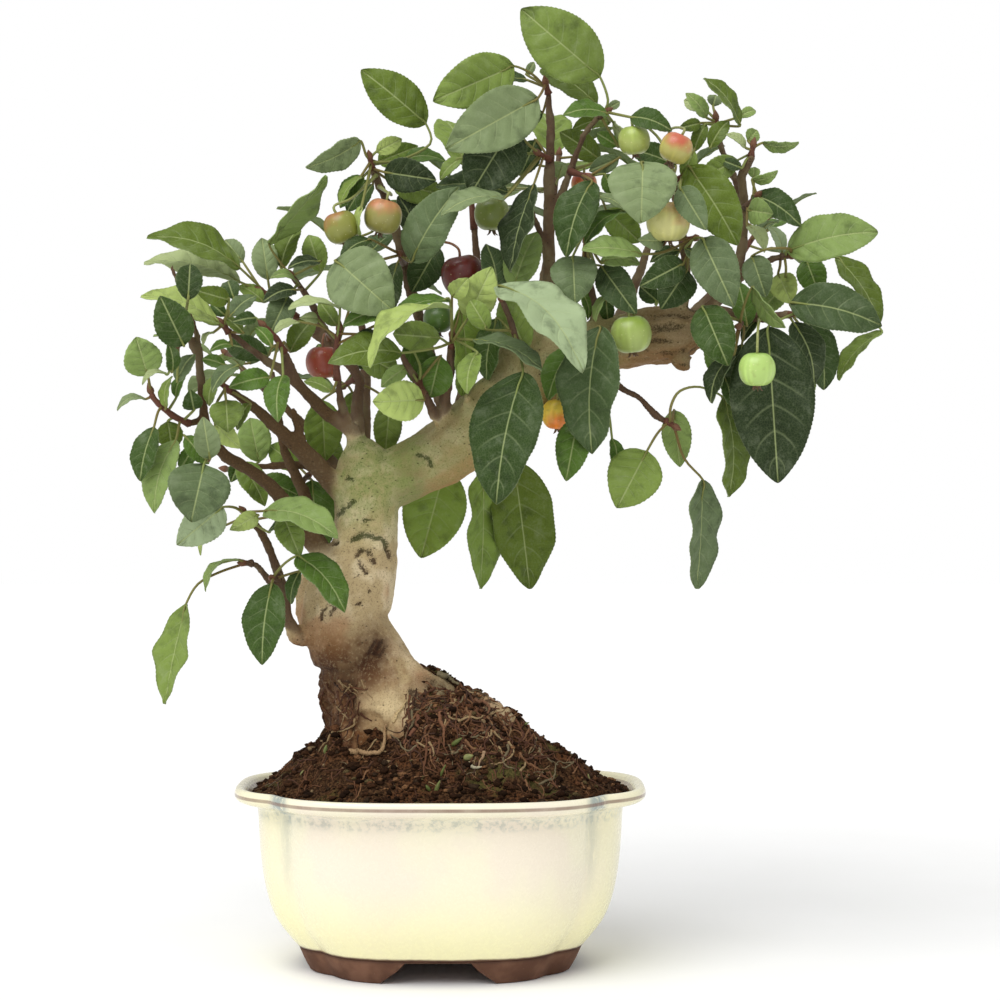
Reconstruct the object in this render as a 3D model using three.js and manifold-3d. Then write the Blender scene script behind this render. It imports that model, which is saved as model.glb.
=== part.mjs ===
// Crabapple bonsai in a four-lobed glazed pot. Millimetres, +Z up, its front towards -Y.
//
// The tree is set out on a front elevation sheet ruled in squares, seen from one eye in front of it.
// A place is written [across, down, depth]: squares from the sheet's left and top edges, then
// millimetres behind the plane that runs through the pot's centre.
import * as THREE from "three";
import { mergeVertices } from "three/addons/utils/BufferGeometryUtils.js";
import Module from "manifold-3d";

const wasm = await Module();
wasm.setup();

// ---- Driving dimensions ----
const SQUARE = 0.4; // one square of the sheet, at the pot's centre plane
const SHEET_MIDDLE = 500; // the square, across and down, that the eye looks straight at
const EYE = new THREE.Vector3(23.6, -900, 185); // from the middle of the pot's foot

const POT_DEPTH_RATIO = 0.8; // the pot's depth to its width
const POT_SIDES = 36;
const POT_RIM_WIDTH = 163;
const POT_RIM_HEIGHT = 72.2;
const POT_FLOOR = 14;
const FOOT_HEIGHT = 9.6;
const FOOT_RECESS = 8;
const DRAIN_RADIUS = 7;
const DRAIN_OFFSET = 34;
const SCREEN_RADIUS = 11;
const SCREEN_THICKNESS = 1.2;
const FIT = 0.35; // the gap between two pieces that lie against each other

const LEAF_THICKNESS = 0.7;
const LEAF_RATIO = 0.52; // a blade's least width to its length
const LEAF_FOLD = 0.16; // how far a blade's halves rise from its rib, to their width
const LEAF_WAVE = 0.05; // how far its edge waves, to its width
const PETIOLE_RADIUS = 0.62;
const TWIG_RADIUS = 1.3;
const CLEARANCE = 0.3; // kept between pieces that only pass each other

// ---- Solids from points and faces ----
function solid(points, faces) {
  const vertProperties = new Float32Array(points.flatMap((p) => [p.x, p.y, p.z]));
  const triVerts = new Uint32Array(faces.flat());
  return new wasm.Manifold(new wasm.Mesh({ numProp: 3, vertProperties, triVerts }));
}

function solidOf(geometry) {
  const bare = geometry.clone();
  bare.deleteAttribute("normal");
  bare.deleteAttribute("uv");
  const merged = mergeVertices(bare, 1e-4);
  const vertProperties = new Float32Array(merged.attributes.position.array);
  const triVerts = new Uint32Array(merged.index.array);
  return new wasm.Manifold(new wasm.Mesh({ numProp: 3, vertProperties, triVerts }));
}

function union(solids) {
  return wasm.Manifold.union(solids);
}

function geometryOf(body) {
  const { vertProperties, triVerts, numProp } = body.getMesh();
  const geometry = new THREE.BufferGeometry();
  const positions = new Float32Array(triVerts.length * 3);
  triVerts.forEach((vertex, i) => {
    positions.set(vertProperties.subarray(vertex * numProp, vertex * numProp + 3), i * 3);
  });
  geometry.setAttribute("position", new THREE.BufferAttribute(positions, 3));
  geometry.computeVertexNormals();
  return geometry;
}

// A place on the sheet, carried back or forward along the eye's line of sight to its depth.
function place([across, down, depth]) {
  const scale = SQUARE * (1 + depth / -EYE.y);
  const x = EYE.x + (across - SHEET_MIDDLE) * scale;
  return new THREE.Vector3(x, depth, EYE.z - (down - SHEET_MIDDLE) * scale);
}

// Rings of equal count joined into one closed body, with a fan over each end.
function loft(rings) {
  const sides = rings[0].length;
  const points = rings.flat();
  const faces = [];
  for (let i = 0; i + 1 < rings.length; i += 1) {
    for (let k = 0; k < sides; k += 1) {
      const a = i * sides + k;
      const b = i * sides + ((k + 1) % sides);
      faces.push([a, b, b + sides], [a, b + sides, a + sides]);
    }
  }
  const last = (rings.length - 1) * sides;
  for (let k = 1; k + 1 < sides; k += 1) {
    faces.push([0, k + 1, k], [last, last + k, last + k + 1]);
  }
  return solid(points, faces);
}

// A round bar along a route, with a radius at each of its points, cut square at both ends.
function bar(points, radii, sides, shape = () => 1) {
  const tangents = points.map((_, i) => {
    const ahead = points[Math.min(i + 1, points.length - 1)];
    return ahead.clone().sub(points[Math.max(i - 1, 0)]).normalize();
  });
  const normal = new THREE.Vector3(0, -1, 0);
  if (Math.abs(tangents[0].y) > 0.9) normal.set(1, 0, 0);
  const rings = points.map((point, i) => {
    normal.addScaledVector(tangents[i], -normal.dot(tangents[i])).normalize();
    const across = new THREE.Vector3().crossVectors(tangents[i], normal);
    return Array.from({ length: sides }, (_, k) => {
      const angle = (2 * Math.PI * k) / sides;
      const radius = radii[i] * shape(angle, i / (points.length - 1));
      return point
        .clone()
        .addScaledVector(normal, radius * Math.cos(angle))
        .addScaledVector(across, radius * Math.sin(angle));
    });
  });
  return loft(rings);
}

// ---- Pot: one piece of glazed ceramic on a bare foot ring ----
// Its plan is the larger of two rounded boxes, one wide and one deep, which leaves a crease at each
// corner where the four lobes meet.
const WIDE_LOBE_DEPTH = 0.76; // of the pot's whole depth
const DEEP_LOBE_WIDTH = 0.86; // of its whole width
const LOBE_SQUARENESS = 3.1; // the power of the curve: 2 is an ellipse, and more is squarer

function lobedRadius(angle, halfWidth) {
  const halfDepth = halfWidth * POT_DEPTH_RATIO;
  const lobe = (a, b) => {
    const along = Math.abs(Math.cos(angle) / a) ** LOBE_SQUARENESS;
    const across = Math.abs(Math.sin(angle) / b) ** LOBE_SQUARENESS;
    return (along + across) ** (-1 / LOBE_SQUARENESS);
  };
  const wide = lobe(halfWidth, halfDepth * WIDE_LOBE_DEPTH);
  return Math.max(wide, lobe(halfWidth * DEEP_LOBE_WIDTH, halfDepth));
}

function lobedRing(halfWidth, height) {
  return Array.from({ length: POT_SIDES }, (_, k) => {
    const angle = (2 * Math.PI * (k + 0.5)) / POT_SIDES;
    const radius = lobedRadius(angle, halfWidth);
    return new THREE.Vector3(radius * Math.cos(angle), radius * Math.sin(angle), height);
  });
}

// Half-width and height down the outside, over the lip and down the inside.
const POT_OUTSIDE = [
  [51.6, 0],
  [54.6, 5],
  [56.8, FOOT_HEIGHT],
  [60.5, 14],
  [67.5, 26],
  [71.2, 45],
  [72.3, 64.5],
  [80.3, 67.2],
  [POT_RIM_WIDTH / 2, 70],
  [79.8, POT_RIM_HEIGHT],
];
const POT_INSIDE = [
  [77.4, 71],
  [67.4, 60],
  [64.5, 33],
  [54, POT_FLOOR],
];
const FOOT_INSIDE = 45.5; // half-width inside the foot ring
const FRONT_ARCH = [12.6, 23.4]; // half-width at the top and at the ground
const SIDE_ARCH = [9, 17];

const ROD_SIDES = 16;

function rodThrough(radius, bottom, top, x, y) {
  const cylinder = new THREE.CylinderGeometry(radius, radius, top - bottom, ROD_SIDES);
  cylinder.rotateX(Math.PI / 2);
  cylinder.translate(x, y, (bottom + top) / 2);
  return solidOf(cylinder);
}

// The arch between two feet: straight at the top, its ends flaring out to the ground. It runs right
// through under the pot.
const ARCH_TOP = FOOT_HEIGHT - 0.8;
const ARCH_FLARE = 2; // how far the flare's control point stands out from the arch's straight top
const BELOW = -1; // a level under the ground, where cuts start

function footArch(halfTop, halfBottom) {
  const arch = new THREE.Shape();
  arch.moveTo(-halfBottom, BELOW);
  arch.lineTo(halfBottom, BELOW);
  arch.quadraticCurveTo(halfTop + ARCH_FLARE, ARCH_TOP * 0.45, halfTop, ARCH_TOP);
  arch.lineTo(-halfTop, ARCH_TOP);
  arch.quadraticCurveTo(-halfTop - ARCH_FLARE, ARCH_TOP * 0.45, -halfBottom, BELOW);
  const depth = POT_RIM_WIDTH;
  const prism = new THREE.ExtrudeGeometry(arch, { depth, curveSegments: 4, bevelEnabled: false });
  prism.translate(0, 0, -depth / 2);
  prism.rotateX(Math.PI / 2);
  return prism;
}

function makePot() {
  const outside = POT_OUTSIDE.map(([w, z]) => lobedRing(w, z));
  const inside = POT_INSIDE.map(([w, z]) => lobedRing(w, z));
  let body = loft([...outside, ...inside]);
  const recess = [lobedRing(FOOT_INSIDE, BELOW), lobedRing(FOOT_INSIDE - 0.5, FOOT_RECESS)];
  body = body.subtract(loft(recess));
  body = body.subtract(solidOf(footArch(...FRONT_ARCH)));
  body = body.subtract(solidOf(footArch(...SIDE_ARCH).rotateZ(Math.PI / 2)));
  for (const side of [-1, 1]) {
    body = body.subtract(rodThrough(DRAIN_RADIUS, 0, POT_FLOOR + 4, side * DRAIN_OFFSET, 0));
  }
  return body;
}

// A moulded disc with two slots, which lies over a drain hole and keeps the soil in.
const SLOT_WIDTH = 2;
const SLOT_OFFSET = 3;
const SCREEN_BORDER = 2.5;

function makeScreen(side) {
  const bottom = POT_FLOOR + FIT;
  const disc = rodThrough(SCREEN_RADIUS, bottom, bottom + SCREEN_THICKNESS, side * DRAIN_OFFSET, 0);
  const halfSlot = Math.sqrt(SCREEN_RADIUS ** 2 - SLOT_OFFSET ** 2) - SCREEN_BORDER;
  const slots = [-SLOT_OFFSET, SLOT_OFFSET].map((x) => {
    const slot = new THREE.BoxGeometry(SLOT_WIDTH, 2 * halfSlot, 4 * SCREEN_THICKNESS);
    slot.translate(side * DRAIN_OFFSET + x, 0, bottom);
    return solidOf(slot);
  });
  return disc.subtract(union(slots));
}

// ---- Wood: trunk, limb, roots and branches, grown as one ----
// Each row is [across, down, depth, radius in squares].
const TRUNK = [
  [402, 800, 0, 42],
  [400, 765, 0, 52],
  [394, 735, 0, 56],
  [382, 708, 0, 56],
  [371, 685, 0, 52],
  [362, 662, 0, 47],
  [350, 640, 0, 44],
  [342, 618, 0, 43],
  [346, 598, 0, 44],
  [354, 578, 0, 42],
  [362, 556, 0, 36],
  [366, 535, 0, 32],
  [367, 512, 0, 32],
  [368, 490, 0, 33],
  [366, 470, 0, 31],
  [362, 454, 0, 24],
  [358, 444, 0, 15],
];
const LIMB = [
  [368, 492, 0, 27],
  [390, 480, 0, 29],
  [412, 470, 0, 30],
  [440, 456, -1, 33],
  [462, 441, -1, 34],
  [482, 423, -2, 34],
  [503, 402, -2, 34],
  [525, 384, -3, 33],
  [548, 368, -3, 31],
  [574, 354, -3, 29],
  [600, 346, -3, 27],
  [625, 342, -3, 27],
  [650, 338, -4, 27],
  [675, 334, -4, 26],
  [692, 331, -4, 22],
  [705, 329, -4, 15],
];
const ROOTS = [
  // The buttress that runs down to the right, and the crown of roots beside it.
  [[369, 630, -2, 15], [386, 655, -4, 19], [414, 684, -6, 20], [452, 701, -8, 19], [500, 715, -10, 13]],
  [[500, 715, -10, 13], [520, 736, -12, 9], [540, 756, -14, 7], [574, 785, -15, 6]],
  [[416, 696, -8, 24], [450, 724, -16, 22], [486, 750, -24, 16], [516, 780, -32, 10]],
  [[385, 690, -8, 34], [400, 730, -16, 30], [420, 762, -26, 20], [432, 790, -34, 10]],
  [[358, 690, -6, 27], [354, 728, -14, 23], [346, 758, -22, 15], [338, 785, -28, 8]],
  [[356, 680, 8, 18], [347, 720, 18, 14], [338, 750, 27, 10], [330, 775, 32, 7]],
  [[385, 680, 10, 22], [395, 720, 24, 16], [405, 752, 36, 11], [412, 785, 44, 8]],
  [[416, 694, 4, 16], [456, 718, 16, 14], [496, 746, 26, 10], [524, 782, 32, 7]],
];
const BRANCHES = {
  left_high: [[356, 448, 0, 11], [352, 430, -3, 9], [325, 412, -10, 8], [300, 386, -18, 6.5],
    [282, 370, -22, 5.5], [265, 360, -25, 4.8], [245, 345, -28, 4.4], [228, 331, -30, 4]],
  left_high_fork: [[300, 386, -18, 6], [284, 351, -24, 4.5]],
  crown_front: [[351, 432, -3, 7], [340, 400, -14, 5.5], [338, 378, -20, 4]],
  crown_back: [[359, 448, 0, 9], [357, 410, 4, 7.5], [360, 379, 8, 6], [345, 356, 10, 8],
    [325, 340, 12, 7.5], [305, 325, 12, 6], [295, 318, 12, 5]],
  crown_back_fork: [[334, 346, 11, 6], [322, 326, 10, 5], [314, 308, 8, 4]],
  left_middle: [[342, 492, -2, 13], [310, 458, -12, 11], [290, 440, -18, 8.5], [256, 409, -28, 6],
    [234, 393, -32, 4.8], [228, 390, -33, 4.5]],
  left_middle_fork: [[307, 455, -13, 6], [299, 430, -18, 5], [292, 409, -22, 4.2]],
  left_low: [[328, 562, 0, 14], [305, 530, -8, 10], [290, 508, -12, 9], [270, 485, -16, 8],
    [250, 470, -20, 7.5], [225, 456, -24, 7], [211, 440, -26, 6.5], [204, 416, -28, 5.5],
    [202, 395, -30, 5.2], [199, 357, -32, 5], [185, 330, -35, 4.4], [172, 312, -38, 3.8],
    [163, 301, -40, 3.2]],
  left_low_tip: [[200, 358, -32, 4.5], [197, 335, -30, 4.2], [186, 305, -28, 3.8],
    [179, 288, -26, 3.4], [171, 265, -24, 3]],
  left_low_spur: [[204, 420, -28, 5], [188, 424, -32, 4.2]],
  left_back: [[328, 560, 3, 11], [316, 538, 6, 10], [304, 492, 10, 7], [284, 451, 13, 5.5],
    [276, 400, 15, 4.5], [272, 371, 16, 3.8]],
  left_cross: [[338, 482, 5, 6], [301, 464, 16, 5], [256, 467, 20, 4.6], [240, 472, 20, 4.2]],
  knob: [[315, 634, -4, 13], [296, 636, -10, 10.5], [287, 617, -14, 6.5], [284, 590, -15, 6],
    [276, 566, -16, 5.5], [268, 545, -16, 5], [260, 530, -16, 4.6], [252, 522, -16, 4.2]],
  knob_shoulder: [[322, 636, -2, 18], [308, 610, 0, 13], [303, 590, 2, 9], [309, 572, 3, 6]],
  knob_fork: [[284, 592, -15, 5], [272, 585, -16, 4.6], [258, 566, -18, 4.2], [250, 563, -18, 4]],
  crotch_left: [[446, 440, -6, 8], [424, 392, -16, 5], [405, 362, -22, 4.4], [400, 352, -24, 4]],
  crotch_middle: [[446, 440, -6, 9], [445, 395, -11, 7], [450, 370, -14, 6], [452, 345, -16, 5]],
  crotch_right: [[458, 432, -6, 7], [468, 395, -14, 4.4]],
  top_left: [[452, 438, 4, 9], [436, 380, 12, 8], [420, 320, 14, 7], [409, 285, 10, 6.5],
    [400, 245, 6, 6], [388, 205, 0, 5.5], [378, 182, -3, 5.2], [372, 168, -4, 5]],
  leader: [[548, 366, -3, 13], [549, 300, -4, 8], [549, 225, -4, 7], [549, 180, -4, 6.5],
    [551, 127, -4, 5], [548, 92, -4, 3.6]],
  leader_fork: [[549, 225, -4, 6], [560, 198, -4, 5], [570, 172, -5, 4.6], [584, 134, -6, 4],
    [600, 115, -6, 3.4]],
  dead_stick: [[549, 262, -5, 5], [540, 232, -8, 4.4], [530, 208, -10, 4]],
  broken_stub: [[522, 394, -3, 32], [514, 370, -4, 31], [521, 346, -6, 25], [534, 324, -7, 19],
    [541, 309, -7, 12]],
  middle_spur: [[602, 350, -3, 10], [594, 310, -5, 6], [588, 275, -7, 5], [586, 240, -8, 3.8]],
  right_inner: [[676, 330, -5, 12], [684, 288, -8, 7], [686, 262, -12, 6], [683, 240, -15, 5.5],
    [677, 205, -16, 5], [672, 175, -13, 4.6], [668, 150, -10, 4]],
  right_top: [[692, 326, -4, 12], [712, 306, -5, 8], [738, 275, -2, 6.5], [743, 240, 2, 6],
    [745, 205, 0, 5.5], [741, 176, -4, 5.5], [752, 155, -6, 5.5]],
  right_top_fork: [[744, 216, 1, 5], [735, 180, 6, 4.6], [722, 150, 8, 4.4], [716, 128, 8, 4.6]],
  right_low: [[692, 332, -6, 13], [720, 312, -11, 9], [742, 316, -14, 7], [768, 318, -16, 6],
    [790, 314, -18, 5]],
  right_high: [[735, 281, -2, 6], [755, 268, -3, 5], [770, 260, -4, 4.6], [782, 257, -4, 4.2]],
  hanging: [[604, 362, -6, 8], [610, 376, -10, 5], [620, 388, -12, 4.4], [640, 398, -14, 4],
    [655, 415, -15, 5], [667, 422, -16, 4.4]],
  limb_knob: [[674, 340, -6, 14], [681, 362, -8, 9], [686, 369, -8, 4]],
  back_limb: [[470, 436, 2, 10], [474, 450, 16, 7], [480, 462, 26, 5]],
  back_left: [[366, 522, 4, 11], [338, 470, 26, 7], [304, 425, 40, 5.5], [268, 392, 48, 4]],
  back_crown: [[366, 500, 6, 11], [364, 450, 30, 8], [366, 380, 42, 6], [360, 300, 48, 4]],
  back_middle: [[452, 446, 4, 12], [470, 372, 30, 7.5], [480, 290, 42, 6], [474, 228, 46, 4]],
  back_leader: [[520, 388, 2, 12], [534, 340, 26, 7.5], [545, 275, 38, 6], [552, 215, 44, 4]],
  back_right: [[606, 346, 2, 11], [624, 310, 24, 7], [640, 272, 36, 5.5], [652, 235, 42, 4]],
  back_far_right: [[676, 334, 0, 11], [700, 308, 22, 7], [720, 285, 34, 5.5], [736, 262, 40, 4]],
};

const ROUND_TRUNK = 12;
const ROUND_ROOT = 6;
const ROUND_BRANCH = 5;
const THIN_BRANCH = 9.5; // squares; a thinner branch gets one side fewer

// A route's points and radii; grow makes it fatter, for the hole that it stands in.
function woodRoute(rows, grow = 0) {
  const points = rows.map(place);
  const radii = rows.map((row) => row[3] * SQUARE * (1 + row[2] / -EYE.y) + grow);
  return { points, radii };
}

// The trunk swells and hollows round its girth, slowly turning as it climbs: how far it stands from
// round, as a share of its radius.
function muscle(angle, along) {
  return 1 + 0.05 * Math.sin(3 * angle + 7 * along) + 0.035 * Math.sin(5 * angle - 11 * along);
}

function trunkAndRoots(grow) {
  const trunk = woodRoute(TRUNK, grow);
  const roots = ROOTS.map((rows) => {
    const { points, radii } = woodRoute(rows, grow);
    return bar(points, radii, ROUND_ROOT);
  });
  return union([bar(trunk.points, trunk.radii, ROUND_TRUNK, muscle), ...roots]);
}

// The limb ends where it once snapped, in a row of splinters of uneven length.
const SPLINTER_ROOT = 9; // how far back inside the limb they start
const SPLINTERS = [7, 5.4, 3, 5.4, 7]; // how far each stands out
const SPLINTER_RADII = [2.6, 0.7];

function makeLimb() {
  const { points, radii } = woodRoute(LIMB);
  const body = bar(points, radii, ROUND_TRUNK, muscle);
  const end = points[points.length - 1];
  const splinters = SPLINTERS.map((length, i) => {
    const k = i - (SPLINTERS.length - 1) / 2;
    const root = end.clone().add(new THREE.Vector3(-SPLINTER_ROOT, 2 * k, 3.2 * k));
    const tip = end.clone().add(new THREE.Vector3(length, 2.6 * k, 2.2 * k));
    return bar([root, tip], SPLINTER_RADII, 4);
  });
  return union([body, ...splinters]);
}

const branches = Object.values(BRANCHES).map((rows) => {
  const { points, radii } = woodRoute(rows);
  return bar(points, radii, rows[0][3] < THIN_BRANCH ? ROUND_BRANCH - 1 : ROUND_BRANCH);
});
const trunk = union([trunkAndRoots(0), makeLimb(), ...branches]);
const wood = [TRUNK, LIMB, ...Object.values(BRANCHES)].map((rows) => woodRoute(rows));

// The nearest wood to a place: the point on its centreline, and its radius there.
function nearestWood(target) {
  let best = { clear: Infinity };
  for (const { points, radii } of wood) {
    for (let i = 0; i + 1 < points.length; i += 1) {
      const line = new THREE.Line3(points[i], points[i + 1]);
      const t = line.closestPointToPointParameter(target, true);
      const point = line.at(t, new THREE.Vector3());
      const radius = radii[i] + (radii[i + 1] - radii[i]) * t;
      const clear = point.distanceTo(target) - radius;
      if (clear < best.clear) {
        const ahead = points[i + 1].clone().sub(points[i]).normalize();
        best = { clear, point, radius, ahead, atEnd: t === 1 && i + 2 === points.length };
      }
    }
  }
  return best;
}

// Where a shoot or a stalk leaves the wood: it grows on from a branch's cut end, or stands out square
// from its side. It is slid up to the wood until only the fit is left between them.
const STRAIGHT = 1.5; // how far it runs straight out
const SEAT_REACH = 3;
const SEAT_STEPS = 4;

function seatFor(start, next, radius) {
  const found = nearestWood(start);
  const direction = found.ahead.clone();
  if (!found.atEnd) {
    direction.copy(found.clear > 0 ? start : next).sub(found.point);
    direction.addScaledVector(found.ahead, -direction.dot(found.ahead)).normalize();
  }
  const reach = found.atEnd ? SEAT_REACH : found.radius + SEAT_REACH;
  const foot = found.point.clone().addScaledVector(direction, reach);
  for (let i = 0; i < SEAT_STEPS; i += 1) {
    const clear = foot.clone().addScaledVector(direction, STRAIGHT);
    const gap = bar([foot, clear], [radius, radius], 3).minGap(trunk, 2 * SEAT_REACH);
    foot.addScaledVector(direction, FIT - gap);
  }
  return { foot, direction };
}

// The route of what grows from a seat: straight out at first, then by those of its places that
// lie further on.
function routeFrom({ foot, direction }, places) {
  const clear = foot.clone().addScaledVector(direction, STRAIGHT);
  const ahead = places.filter((point) => {
    return point.clone().sub(clear).dot(direction) > 0.5 || point.distanceTo(clear) > 4;
  });
  if (!ahead.length) ahead.push(clear.clone().addScaledVector(direction, STRAIGHT));
  return [foot, clear, ...ahead];
}

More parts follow.
